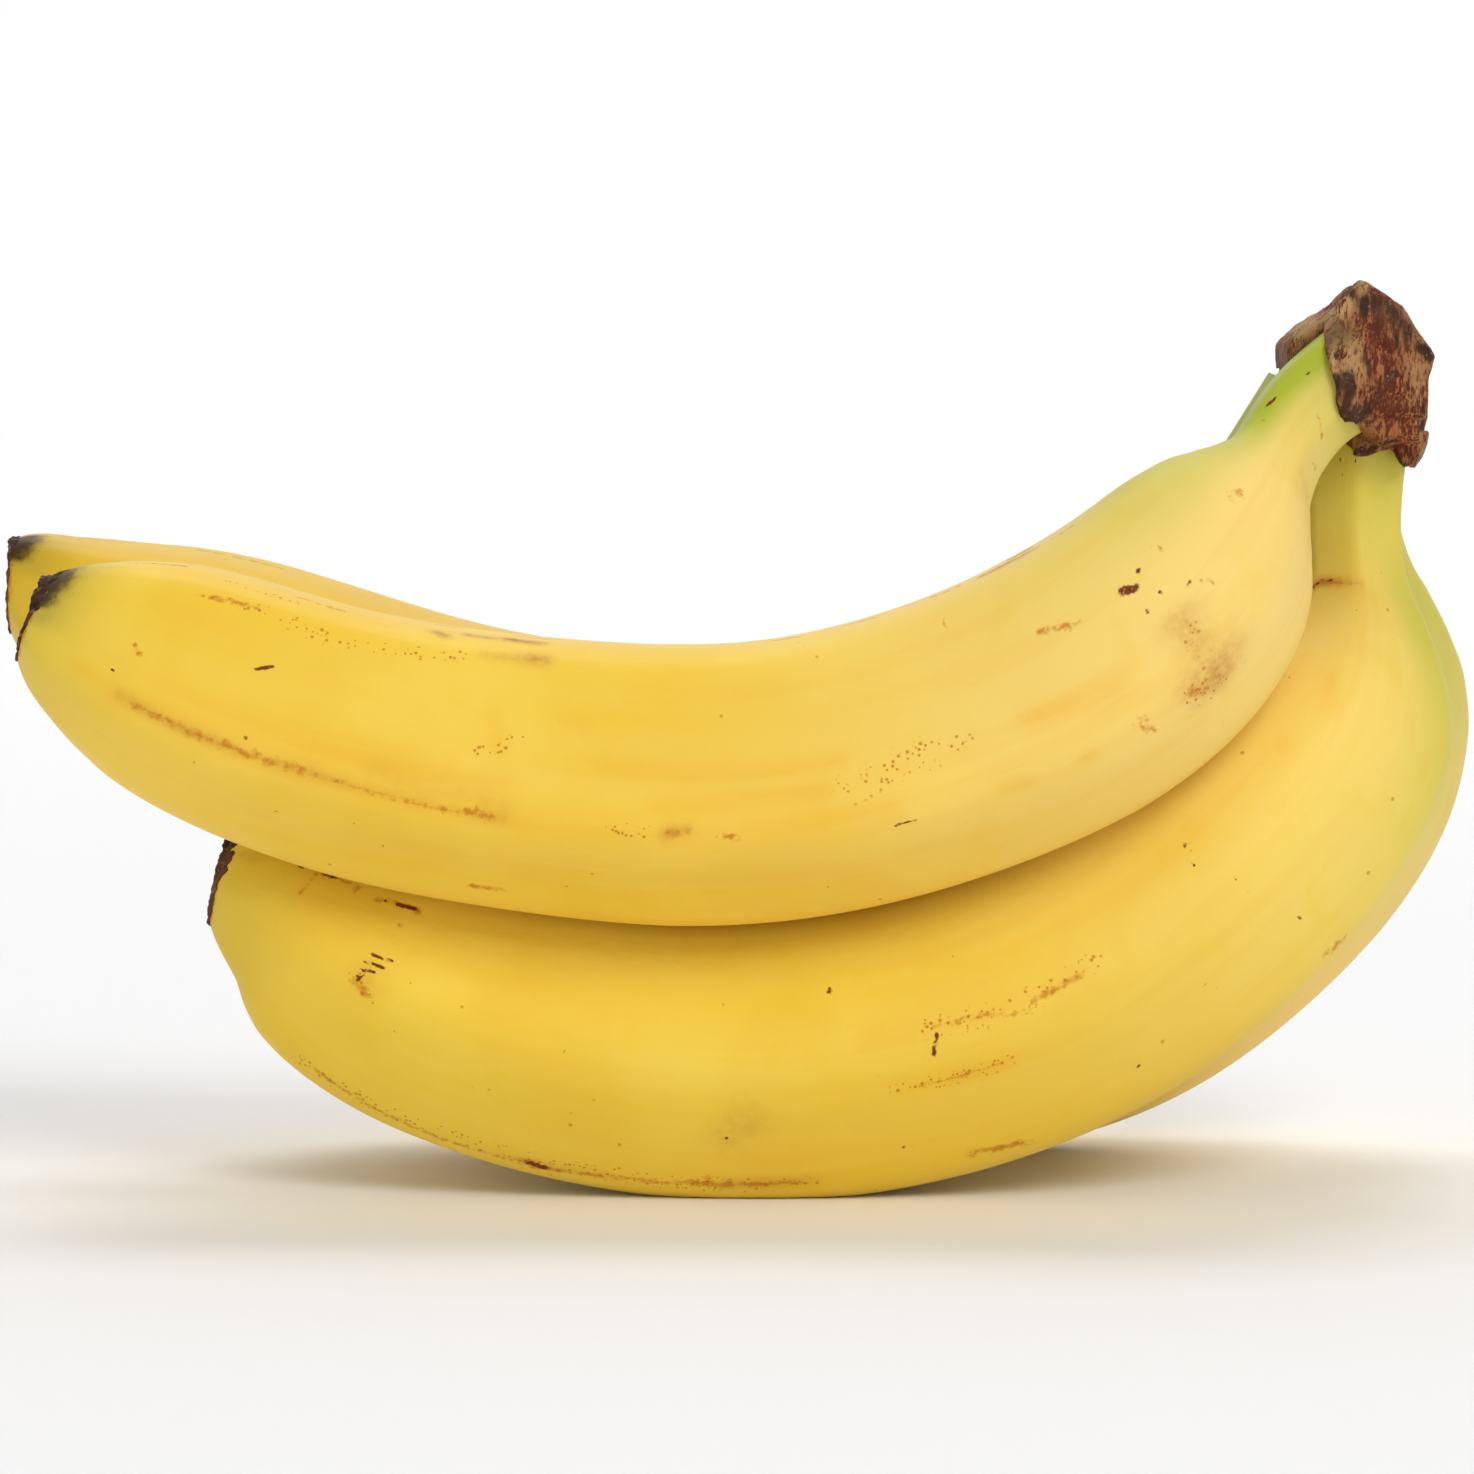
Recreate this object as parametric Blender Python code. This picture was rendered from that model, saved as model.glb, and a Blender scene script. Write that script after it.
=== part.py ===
# A bunch of four bananas on one crown, resting on the backs of the two outer fruits.
# Lengths below are in millimetres; the mesh is written in metres.

import math

import bpy
import bmesh
import numpy as np

MM = 0.001

# Overall sizes
NECK_HALF = 5.9            # narrow neck under the crown
SCAR_HALF = 5.5            # dried blossom end
LATERAL = 0.97             # side-to-side width over back-to-belly width
CLEARANCE = 0.3            # gap between touching pieces
AROUND = 26                # points round a fruit
ALONG = 44                 # rings along a fruit
SHARPNESS = 5.5            # how clearly the five ridges show
ORIGIN = (1.29, -7.66)     # where the routes put the middle of the bunch's footprint

# Half thickness near the blossom end, as (distance from the end, share of the full half thickness)
TIP_GIRTH = [(0.0, 0.31), (1.7, 0.43), (4.5, 0.55), (8.0, 0.655), (12.0, 0.745),
             (17.0, 0.83), (25.0, 0.895), (40.0, 0.94), (60.0, 0.97), (85.0, 1.0)]
# Half thickness above the neck, as (distance past the neck, share of the way to full)
SHOULDER_GIRTH = [(0.0, 0.0), (4.0, 0.05), (8.0, 0.19), (13.0, 0.43),
                  (18.5, 0.68), (26.0, 0.86), (40.0, 0.98), (60.0, 1.0)]

# Each fruit: centre line from the blossom end to the neck, half thickness at its fullest,
# length of the neck and its flare at the crown, turn of the ridges, slant and taper of the blossom
# end, and the crown's ragged skirt on the neck as (degrees round from the back, length, thickness)
FRUITS = {
    "inner_front": {
        "route": [(-89.6, -31.0, 75.8), (-78.1, -31.5, 71.1), (-52.3, -32.5, 61.5), (-25.3, -33.0, 56.6),
                  (2.1, -33.5, 55.7), (28.7, -35.0, 62.0), (52.3, -36.0, 75.3), (61.6, -31.0, 85.3),
                  (69.2, -22.5, 95.6), (75.4, -17.2, 103.5), (83.0, -14.6, 108.6)],
        "half": 18.1, "neck": 18.0, "flare": 0.26, "turn": 0.0, "slant": 0.0, "taper": 1.0,
        "skirt": [(0, 6.6, 0.9), (25, 7.4, 0.9), (45, 10.2, 0.8), (65, 9.8, 0.8), (100, 8.6, 0.8), (135, 6.2, 0.8),
                  (155, 4.4, 0.8), (180, 2.6, 0.8), (230, 3.0, 1.0), (290, 4.6, 1.0)]},
    "inner_back": {
        "route": [(-95.8, 5.0, 77.7), (-90.0, 5.0, 74.4), (-83.1, 5.0, 71.6), (-66.9, 4.5, 66.5),
                  (-40.0, 4.0, 57.5), (-18.5, 4.0, 53.2), (2.2, 4.0, 52.3), (30.1, 4.0, 58.3), (54.8, 3.8, 72.1),
                  (62.6, 3.9, 82.2), (69.3, 3.7, 92.9), (76.4, 3.5, 104.0)],
        "half": 17.7, "neck": 12.0, "flare": 0.04, "turn": 0.1, "slant": 0.55, "taper": 0.85,
        "skirt": [(0, 3.0, 1.0), (60, 1.5, 1.0), (105, 1.6, 0.8), (130, 1.0, -3.0), (225, 1.0, -3.0), (250, 2.0, 0.8),
                  (280, 1.6, 1.0), (320, 3.2, 1.0)]},
    "outer_front": {
        "route": [(-67.0, -15.0, 40.5), (-59.8, -15.5, 37.4), (-50.3, -16.3, 30.9), (-29.8, -17.6, 22.0),
                  (-3.2, -18.4, 17.8), (24.4, -18.6, 20.8), (48.0, -18.6, 30.6), (67.2, -17.6, 47.0),
                  (78.6, -14.5, 62.3), (82.6, -10.6, 75.0), (82.6, -7.4, 85.2), (83.0, -6.0, 100.0)],
        "half": 18.7, "neck": 18.0, "flare": 0.06, "turn": -0.33, "slant": 0.1, "taper": 1.0,
        "skirt": [(0, 3.8, 2.0), (22, 5.8, 1.8), (38, 4.8, 1.4), (55, 2.7, 1.2), (80, 3.2, 1.1), (98, 4.6, 1.1),
                  (112, 2.0, 1.0), (170, 1.4, 1.0), (220, 3.6, 1.0), (265, 1.8, 1.0), (310, 4.2, 1.4)]},
    "outer_back": {
        "route": [(-60.0, 18.5, 38.0), (-46.3, 19.3, 29.5), (-24.4, 20.0, 21.6), (3.2, 20.3, 17.8),
                  (28.0, 20.3, 18.0), (51.2, 20.3, 23.8), (65.3, 20.3, 33.6), (74.4, 19.8, 43.0),
                  (80.7, 18.8, 52.4), (84.3, 16.8, 63.8), (85.4, 14.0, 76.2), (83.8, 12.8, 87.2),
                  (84.2, 12.5, 99.6)],
        "half": 18.5, "neck": 15.0, "flare": 0.06, "turn": 0.16, "slant": 0.1, "taper": 1.0,
        "skirt": [(0, 3.4, 1.2), (40, 4.8, 1.2), (75, 2.0, 1.0), (120, 3.4, 1.0), (180, 1.2, 1.0), (240, 4.4, 1.0),
                  (290, 2.2, 1.1), (330, 5.0, 1.2)]},
}

# Crown outline seen from the front, as (x, z)
CROWN_OUTLINE = [(81.7, 119.6), (86.6, 116.4), (91.2, 109.7), (90.4, 106.5), (90.2, 101.5), (89.6, 98.4),
                 (84.0, 97.6), (79.6, 100.6), (78.2, 105.9), (77.9, 110.4), (79.2, 114.6)]
# Crown sections from front to back, as (y, shift of x, drop of the ridge, width, height)
CROWN_SECTIONS = [(-19.8, 0.4, 0.8, 0.78, 0.84), (-18.6, 0.0, 0.0, 0.96, 0.97), (-11.0, 0.0, 0.0, 1.0, 1.0),
                  (-2.0, -2.3, 2.8, 1.06, 1.0), (8.0, -4.1, 5.0, 1.12, 1.0), (16.5, -3.4, 5.6, 1.06, 0.94),
                  (20.0, -2.2, 6.4, 0.80, 0.70)]

COLOURS = {
    "banana_peel": (0.86, 0.56, 0.07, 1.0),
    "crown_wood": (0.24, 0.12, 0.06, 1.0),
    "scar_brown": (0.06, 0.04, 0.03, 1.0),
}


def clear_scene():
    for thing in list(bpy.data.objects):
        bpy.data.objects.remove(thing, do_unlink=True)


def get_material(name, part_name):
    material = bpy.data.materials.new(part_name)
    material.use_nodes = True
    shader = material.node_tree.nodes["Principled BSDF"]
    shader.inputs["Base Color"].default_value = COLOURS[name]
    shader.inputs["Roughness"].default_value = 0.45 if name == "banana_peel" else 0.85
    material.diffuse_color = COLOURS[name]
    return material


def make_object(name, vertices, faces, colour=None):
    mesh = bpy.data.meshes.new(name)
    points = [((x - ORIGIN[0]) * MM, (y - ORIGIN[1]) * MM, z * MM) for x, y, z in np.array(vertices, float)]
    mesh.from_pydata(points, [], [tuple(int(i) for i in f) for f in faces])
    work = bmesh.new()
    work.from_mesh(mesh)
    bmesh.ops.recalc_face_normals(work, faces=work.faces)
    work.to_mesh(mesh)
    work.free()
    for face in mesh.polygons:
        face.use_smooth = True
    thing = bpy.data.objects.new(name, mesh)
    bpy.context.scene.collection.objects.link(thing)
    if colour:
        mesh.materials.append(get_material(colour, name))
    return thing


# Smooth curves

def spline(knots, values, at):
    """Natural cubic spline through the values, read at the given places."""
    knots = np.asarray(knots, float)
    values = np.asarray(values, float)
    count = len(knots)
    step = np.diff(knots)
    slope = np.diff(values, axis=0) / step.reshape((-1,) + (1,) * (values.ndim - 1))
    matrix = np.eye(count)
    right = np.zeros_like(values)
    for i in range(1, count - 1):
        matrix[i, i - 1] = step[i - 1]
        matrix[i, i] = 2 * (step[i - 1] + step[i])
        matrix[i, i + 1] = step[i]
        right[i] = 6 * (slope[i] - slope[i - 1])
    bend = np.linalg.solve(matrix, right)
    out = []
    for place in at:
        i = int(min(max(np.searchsorted(knots, place) - 1, 0), count - 2))
        a = (knots[i + 1] - place) / step[i]
        b = 1 - a
        curve = ((a ** 3 - a) * bend[i] + (b ** 3 - b) * bend[i + 1]) * step[i] ** 2 / 6
        out.append(a * values[i] + b * values[i + 1] + curve)
    return np.array(out)


def centre_line(route, count):
    """Points, their distances and the total length; rings crowd towards both ends."""
    route = np.array(route, float)
    chord = np.concatenate([[0], np.cumsum(np.linalg.norm(np.diff(route, axis=0), axis=1))])
    fine = spline(chord, route, np.linspace(0, chord[-1], 400))
    distance = np.concatenate([[0], np.cumsum(np.linalg.norm(np.diff(fine, axis=0), axis=1))])
    share = np.linspace(0, 1, count)
    share = share - 0.62 * np.sin(2 * math.pi * share) / (2 * math.pi)
    places = share * distance[-1]
    points = np.stack([np.interp(places, distance, fine[:, k]) for k in range(3)], axis=1)
    ahead = np.gradient(fine, axis=0)
    tangents = np.stack([np.interp(places, distance, ahead[:, k]) for k in range(3)], axis=1)
    tangents /= np.linalg.norm(tangents, axis=1)[:, None]
    return points, tangents, places, distance[-1]


def soft_interp(table, at):
    """Smooth reading of a short table with flat ends."""
    x = [row[0] for row in table]
    y = [row[1] for row in table]
    reach = np.linspace(-1.5, 1.5, 7)
    weight = np.exp(-reach ** 2)
    weight /= weight.sum()
    total = np.zeros(len(at))
    for shift, share in zip(reach, weight):
        total += share * np.interp(np.asarray(at) + shift, x, y)
    return total


def half_thickness(places, length, fruit):
    full = fruit["half"]
    eased = places * (1 - (1 - fruit["taper"]) * np.exp(-places / 30))
    from_tip = np.interp(eased, [row[0] for row in TIP_GIRTH], [row[1] for row in TIP_GIRTH])
    far = eased > 3.0
    from_tip[far] = soft_interp(TIP_GIRTH, eased[far])
    from_neck = soft_interp(SHOULDER_GIRTH, length - places - fruit["neck"])
    neck_share = NECK_HALF / full * (1 + fruit["flare"] * np.exp(-(length - places) / 8))
    return full * np.minimum(from_tip, neck_share + (1 - neck_share) * from_neck)


# Five-sided section

def section_radius(angle, sharpness):
    """Distance to the skin at an angle from the back, for a face distance of one."""
    total = 0.0
    for face in range(5):
        facing = math.cos(angle - math.radians(36 + 72 * face))
        if facing > 0:
            total += facing ** sharpness
    return total ** (-1 / sharpness)


def ring_axes(tangent):
    """Directions across a fruit: to its back, and towards the front of the bunch."""
    side = np.array([0.0, -1.0, 0.0])
    side = side - tangent * side.dot(tangent)
    side /= np.linalg.norm(side)
    return np.cross(tangent, side), side


def fruit_rings(fruit, swell=0.0, around=AROUND, along=ALONG):
    """Rings of skin points; swell grows the fruit evenly, for making a pocket."""
    points, tangents, places, length = centre_line(fruit["route"], along)
    halves = half_thickness(places, length, fruit)
    grid = []
    for point, tangent, half, place in zip(points, tangents, halves, places):
        back, side = ring_axes(tangent)
        near_neck = min(max((place / length - 0.80) / 0.12, 0), 1)
        sharpness = SHARPNESS + 2.0 * near_neck
        scale = 2 * half / (section_radius(0, sharpness) + section_radius(math.pi, sharpness))
        ring = []
        for k in range(around):
            angle = 2 * math.pi * k / around
            reach = scale * section_radius(angle + fruit["turn"], sharpness) + swell
            slant = tangent * math.cos(angle) * reach * fruit["slant"] * max(0, 1 - place / 16)
            across = back * math.cos(angle) * reach + side * math.sin(angle) * reach * LATERAL
            ring.append(point + across + slant)
        grid.append(ring)
    grid = np.array(grid)
    grid[0] -= tangents[0] * swell
    grid[-1] += tangents[-1] * swell
    return grid, places, length


def skin_faces(rings, around):
    faces = []
    for i in range(rings - 1):
        for k in range(around):
            j = (k + 1) % around
            faces.append((i * around + k, i * around + j, (i + 1) * around + j, (i + 1) * around + k))
    faces.append(tuple(range(around)))
    faces.append(tuple((rings - 1) * around + k for k in reversed(range(around))))
    return faces


def build_fruit(name):
    grid = fruit_rings(FRUITS[name])[0]
    if name.startswith("outer"):
        grid[:, :, 2] = np.maximum(grid[:, :, 2], 0.0)
    return make_object("banana_" + name, grid.reshape(-1, 3), skin_faces(ALONG, AROUND), "banana_peel")


# Dried blossom ends

def build_scar(name, seed):
    fruit = FRUITS[name]
    points, tangents = centre_line(fruit["route"], ALONG)[:2]
    back, side = ring_axes(tangents[0])
    around = 20
    profile = [(CLEARANCE, 0.90), (0.6, 1.0), (1.0, 0.97), (1.3, 0.80), (1.15, 0.45)]
    vertices = []
    for out, share in profile:
        for k in range(around):
            angle = 2 * math.pi * k / around
            wobble = 1 + 0.05 * math.sin(2 * angle + seed) + 0.04 * math.sin(5 * angle + 2 * seed)
            lift = out + (0.15 * math.sin(3 * angle + seed) if out > 0.9 else 0)
            reach = SCAR_HALF * share * wobble
            across = (back + tangents[0] * fruit["slant"]) * math.cos(angle) + side * math.sin(angle)
            vertices.append(points[0] - tangents[0] * lift + across * reach)
    vertices.append(points[0] - tangents[0] * 0.9)
    rings = len(profile)
    faces = skin_faces(rings, around)[:-1]
    last = (rings - 1) * around
    for k in range(around):
        faces.append((last + k, last + (k + 1) % around, rings * around))
    return make_object("scar_" + name, vertices, faces, "scar_brown")


# Crown

def build_crown_block():
    outline = np.array(CROWN_OUTLINE)
    middle = outline.mean(axis=0)
    floor = outline[:, 1].min()
    vertices = []
    for y, shift, drop, width, height in CROWN_SECTIONS:
        for x, z in outline:
            lift = (z - floor) / (outline[:, 1].max() - floor)
            new_x = middle[0] + (x - middle[0]) * width + shift
            new_z = middle[1] + (z - middle[1]) * height - drop * lift
            vertices.append((new_x, y, new_z))
    return make_object("crown", vertices, skin_faces(len(CROWN_SECTIONS), len(outline)), "crown_wood")


def build_skirt(name):
    """Ragged sleeve of crown wood round the top of a neck."""
    fruit = FRUITS[name]
    around = 24
    steps = 6
    points, tangents, places, length = centre_line(fruit["route"], 120)
    angles = np.radians([row[0] for row in fruit["skirt"]] + [360])
    depths = [row[1] for row in fruit["skirt"]] + [fruit["skirt"][0][1]]
    walls = [row[2] for row in fruit["skirt"]] + [fruit["skirt"][0][2]]
    grid = np.zeros((steps, around, 3))
    for k in range(around):
        angle = 2 * math.pi * k / around
        depth = np.interp(angle, angles, depths)
        for i in range(steps):
            share = i / (steps - 1)
            place = length - depth * share
            centre = np.array([np.interp(place, places, points[:, n]) for n in range(3)])
            tangent = np.array([np.interp(place, places, tangents[:, n]) for n in range(3)])
            back, side = ring_axes(tangent / np.linalg.norm(tangent))
            wall = CLEARANCE + np.interp(angle, angles, walls) * (1 - 0.7 * share ** 3)
            reach = NECK_HALF * (1.04 + fruit["flare"] * math.exp(-(length - place) / 8)) + wall
            grid[i, k] = centre + (back * math.cos(angle) + side * math.sin(angle)) * reach
    inner = points[-1] - tangents[-1] * 0.4
    vertices = list(grid.reshape(-1, 3)) + [inner]
    faces = skin_faces(steps, around)[:-1]
    last = (steps - 1) * around
    for k in range(around):
        faces.append((last + k, last + (k + 1) % around, steps * around))
    return make_object("skirt_" + name, vertices, faces)


def build_pocket(name):
    """Swollen end of a neck, taken out of the crown."""
    grid, places, length = fruit_rings(FRUITS[name], CLEARANCE)
    grid = grid[places > length - 24]
    return make_object("pocket_" + name, grid.reshape(-1, 3), skin_faces(len(grid), AROUND))


def combine(thing, tool, operation):
    step = thing.modifiers.new(operation.lower() + " " + tool.name, "BOOLEAN")
    step.operation = operation
    step.solver = "MANIFOLD"
    step.object = tool
    tool.hide_render = True
    tool.display_type = "WIRE"


def build_crown():
    crown = build_crown_block()
    for name in FRUITS:
        combine(crown, build_skirt(name), "UNION")
    for name in FRUITS:
        combine(crown, build_pocket(name), "DIFFERENCE")
    return crown


def main():
    clear_scene()
    for name in FRUITS:
        build_fruit(name)
    for number, name in enumerate(FRUITS):
        build_scar(name, 1.0 + 1.7 * number)
    build_crown()


main()
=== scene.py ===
import math

import bpy
import bmesh
import numpy as np
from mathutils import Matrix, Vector


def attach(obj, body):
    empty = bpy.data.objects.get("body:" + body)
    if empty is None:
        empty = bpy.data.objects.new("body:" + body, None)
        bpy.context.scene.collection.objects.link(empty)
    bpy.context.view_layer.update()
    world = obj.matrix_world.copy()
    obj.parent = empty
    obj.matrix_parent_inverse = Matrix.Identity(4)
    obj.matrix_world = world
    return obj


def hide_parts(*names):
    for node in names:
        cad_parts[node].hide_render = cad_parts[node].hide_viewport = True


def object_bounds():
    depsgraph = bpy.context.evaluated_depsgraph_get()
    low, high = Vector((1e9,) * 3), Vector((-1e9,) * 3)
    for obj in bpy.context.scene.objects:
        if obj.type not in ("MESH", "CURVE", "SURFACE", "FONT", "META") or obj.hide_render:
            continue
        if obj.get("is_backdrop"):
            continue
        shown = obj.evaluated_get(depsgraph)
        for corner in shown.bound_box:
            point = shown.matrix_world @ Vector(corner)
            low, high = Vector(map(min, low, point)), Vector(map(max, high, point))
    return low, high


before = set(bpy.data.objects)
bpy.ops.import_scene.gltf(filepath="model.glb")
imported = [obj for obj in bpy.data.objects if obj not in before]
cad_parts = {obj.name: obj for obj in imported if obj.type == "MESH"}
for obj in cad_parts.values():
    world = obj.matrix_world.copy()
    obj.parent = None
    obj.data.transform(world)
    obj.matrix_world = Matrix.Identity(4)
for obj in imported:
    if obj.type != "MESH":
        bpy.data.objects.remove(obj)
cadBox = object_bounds()
scene = bpy.context.scene
mm = 0.001
print("frame loaded")


# Small helpers for writing node trees

def plug(tree, socket, value):
    if isinstance(value, bpy.types.NodeSocket):
        tree.links.new(value, socket)
    elif isinstance(value, tuple) and len(value) == 3 and socket.type == "RGBA":
        socket.default_value = (*value, 1.0)
    else:
        socket.default_value = value


def layOut(tree, node):
    # nodes stand in rows, in the order in which they are made
    perRow, wide, high = 12, 200, 280
    count = len(tree.nodes) - 1
    node.location = (count % perRow * wide, count // perRow * -high)


def put(tree, kind, inputs=None, **settings):
    node = tree.nodes.new(kind)
    for key, value in settings.items():
        setattr(node, key, value)
    for key, value in (inputs or {}).items():
        plug(tree, node.inputs[key], value)
    layOut(tree, node)
    return node


def calc(tree, operation, *values, clamp=False):
    return put(tree, "ShaderNodeMath", dict(enumerate(values)), operation=operation, use_clamp=clamp).outputs[0]


def times(tree, *values, clamp=False):
    return calc(tree, "MULTIPLY", *values, clamp=clamp)


def plus(tree, *values):
    return calc(tree, "ADD", *values)


def minus(tree, *values, clamp=False):
    return calc(tree, "SUBTRACT", *values, clamp=clamp)


def swing(tree, value, size):
    # a noise value about its middle, times a size
    return times(tree, minus(tree, value, 0.5), size)


def vec(tree, operation, *values):
    node = put(tree, "ShaderNodeVectorMath", dict(enumerate(values)), operation=operation)
    return node.outputs["Value" if operation in ("DOT_PRODUCT", "LENGTH") else "Vector"]


def scaled(tree, vector, factor):
    return put(tree, "ShaderNodeVectorMath", {0: vector, "Scale": factor}, operation="SCALE").outputs["Vector"]


def remap(tree, value, low, high, toLow=0.0, toHigh=1.0, kind="SMOOTHSTEP"):
    return put(tree, "ShaderNodeMapRange", {0: value, 1: low, 2: high, 3: toLow, 4: toHigh},
               interpolation_type=kind).outputs[0]


def noise(tree, vector, scale, detail=3.0, roughness=0.5, distortion=0.0):
    return put(tree, "ShaderNodeTexNoise", {"Vector": vector, "Scale": scale, "Detail": detail,
                                            "Roughness": roughness, "Distortion": distortion}).outputs[0]


def blend(tree, factor, under, over, mode="MIX"):
    return put(tree, "ShaderNodeMix", {0: factor, 6: under, 7: over}, data_type="RGBA", blend_type=mode).outputs[2]


def newTree(name, kind, inputs, outputs):
    tree = bpy.data.node_groups.new(name, kind)
    for label, socketType, value in inputs:
        socket = tree.interface.new_socket(label, in_out="INPUT", socket_type=socketType)
        if value is not None:
            socket.default_value = value
    for label, socketType in outputs:
        tree.interface.new_socket(label, in_out="OUTPUT", socket_type=socketType)
    given = tree.nodes.new("NodeGroupInput").outputs
    result = tree.nodes.new("NodeGroupOutput").inputs
    return tree, given, result


def useGroup(tree, group, inputs):
    kind = "GeometryNodeGroup" if tree.type == "GEOMETRY" else "ShaderNodeGroup"
    node = tree.nodes.new(kind)
    node.node_tree = group
    for key, value in inputs.items():
        plug(tree, node.inputs[key], value)
    layOut(tree, node)
    return node.outputs


def addObject(name, data):
    made = bpy.data.objects.new(name, data)
    scene.collection.objects.link(made)
    return made


def bakeModifiers(thing, name):
    # the evaluated result becomes a plain mesh with its place in it
    bpy.context.view_layer.update()
    graph = bpy.context.evaluated_depsgraph_get()
    mesh = bpy.data.meshes.new_from_object(thing.evaluated_get(graph))
    source = thing.data
    bpy.data.objects.remove(thing)
    if source.users == 0:
        bpy.data.meshes.remove(source)
    mesh.name = name
    return addObject(name, mesh)


def addTree(thing, tree, inputs):
    step = thing.modifiers.new(tree.name, "NODES")
    step.node_group = tree
    for item in tree.interface.items_tree:
        if item.item_type == "SOCKET" and item.in_out == "INPUT" and item.name in inputs:
            step[item.identifier] = inputs[item.name]
    return step


def newMaterial(name):
    material = bpy.data.materials.new(name)
    material.use_nodes = True
    return material, material.node_tree, material.node_tree.nodes["Principled BSDF"]


def field(tree, label):
    return put(tree, "ShaderNodeAttribute", attribute_name=label).outputs["Fac"]


def storeValues(mesh, name, values):
    mesh.attributes.new(name, "FLOAT", "POINT").data.foreach_set("value", values.astype(np.float32))


def pointsOf(mesh):
    # the vertices in mm
    points = np.zeros(len(mesh.vertices) * 3, np.float32)
    mesh.vertices.foreach_get("co", points)
    return points.reshape(-1, 3).astype(float) / mm


# Shared shader groups

def buildSpecks():
    # round flecks of random size, only on some cells
    tree, given, result = newTree(
        "specks", "ShaderNodeTree",
        [("Vector", "NodeSocketVector", None), ("Scale", "NodeSocketFloat", 400.0),
         ("Share", "NodeSocketFloat", 0.2), ("Size", "NodeSocketFloat", 0.25)],
        [("Mask", "NodeSocketFloat")])
    cells = put(tree, "ShaderNodeTexVoronoi", {"Vector": given["Vector"], "Scale": given["Scale"]})
    picked = put(tree, "ShaderNodeSeparateColor", {0: cells.outputs["Color"]}).outputs
    size = times(tree, given["Size"], plus(tree, 0.35, picked[1]))
    chosen = calc(tree, "LESS_THAN", picked[0], given["Share"])
    spot = remap(tree, calc(tree, "DIVIDE", cells.outputs["Distance"], size), 0.7, 1.15, 1.0, 0.0)
    plug(tree, result["Mask"], times(tree, spot, chosen))
    return tree


def buildGrain():
    # streaks drawn out along one direction of the given vector
    tree, given, result = newTree(
        "grain", "ShaderNodeTree",
        [("Vector", "NodeSocketVector", None), ("Stretch", "NodeSocketVector", (1.0, 1.0, 0.1)),
         ("Scale", "NodeSocketFloat", 300.0), ("Detail", "NodeSocketFloat", 4.0), ("Contrast", "NodeSocketFloat", 0.3)],
        [("Value", "NodeSocketFloat")])
    drawn = vec(tree, "MULTIPLY", given["Vector"], given["Stretch"])
    value = noise(tree, drawn, given["Scale"], given["Detail"], 0.6)
    low = minus(tree, 0.5, given["Contrast"])
    high = plus(tree, 0.5, given["Contrast"])
    plug(tree, result["Value"], remap(tree, value, low, high))
    return tree


def buildRagged():
    # a mark from its field, 0 in the middle and 1 at its edge, broken up by noise; Fill is how solid the middle is
    tree, given, result = newTree(
        "raggedMark", "ShaderNodeTree",
        [("Field", "NodeSocketFloat", 9.0), ("Noise", "NodeSocketFloat", 0.5), ("Ragged", "NodeSocketFloat", 1.0),
         ("Fill", "NodeSocketFloat", 1.0), ("Soft", "NodeSocketFloat", 0.2)],
        [("Mask", "NodeSocketFloat")])
    pushed = plus(tree, given["Field"], swing(tree, given["Noise"], given["Ragged"]))
    low = minus(tree, given["Fill"], given["Soft"])
    high = plus(tree, given["Fill"], given["Soft"])
    plug(tree, result["Mask"], remap(tree, pushed, low, high, 1.0, 0.0))
    return tree


specks = buildSpecks()
grain = buildGrain()
raggedMark = buildRagged()


# Peel: one five-ridged sweep along each fruit's centre line

peel = {
    "neckHalf": 5.9, "sideShare": 0.97, "sharpness": 5.5,
    "unevenSize": 26.0, "unevenDepth": 0.22, "tipLip": 0.8, "roundRadius": 18.0, "spinePoints": 400,
    # reaches in mm from the blossom end, and from the neck for the flare
    "taperReach": 30.0, "slantReach": 16.0, "lipReach": 6.0, "flareReach": 8.0,
    # rings stand closer at both ends; the neck's ridges are sharper by this much between two shares of the length
    "crowding": 0.62, "neckSharpness": 2.0, "neckSharpFrom": (0.80, 0.92),
    # half thickness near the blossom end and above the neck, as (mm, share of the full half thickness)
    "tipGirth": [(0.0, 0.31), (1.7, 0.43), (4.5, 0.55), (8.0, 0.655), (12.0, 0.745),
                 (17.0, 0.83), (25.0, 0.895), (40.0, 0.94), (60.0, 0.97), (85.0, 1.0)],
    "shoulderGirth": [(0.0, 0.0), (4.0, 0.05), (8.0, 0.19), (13.0, 0.43),
                      (18.5, 0.68), (26.0, 0.86), (40.0, 0.98), (60.0, 1.0)],
}
origin = (1.29, -7.66)     # middle of the footprint in the centre lines' own mm

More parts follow.
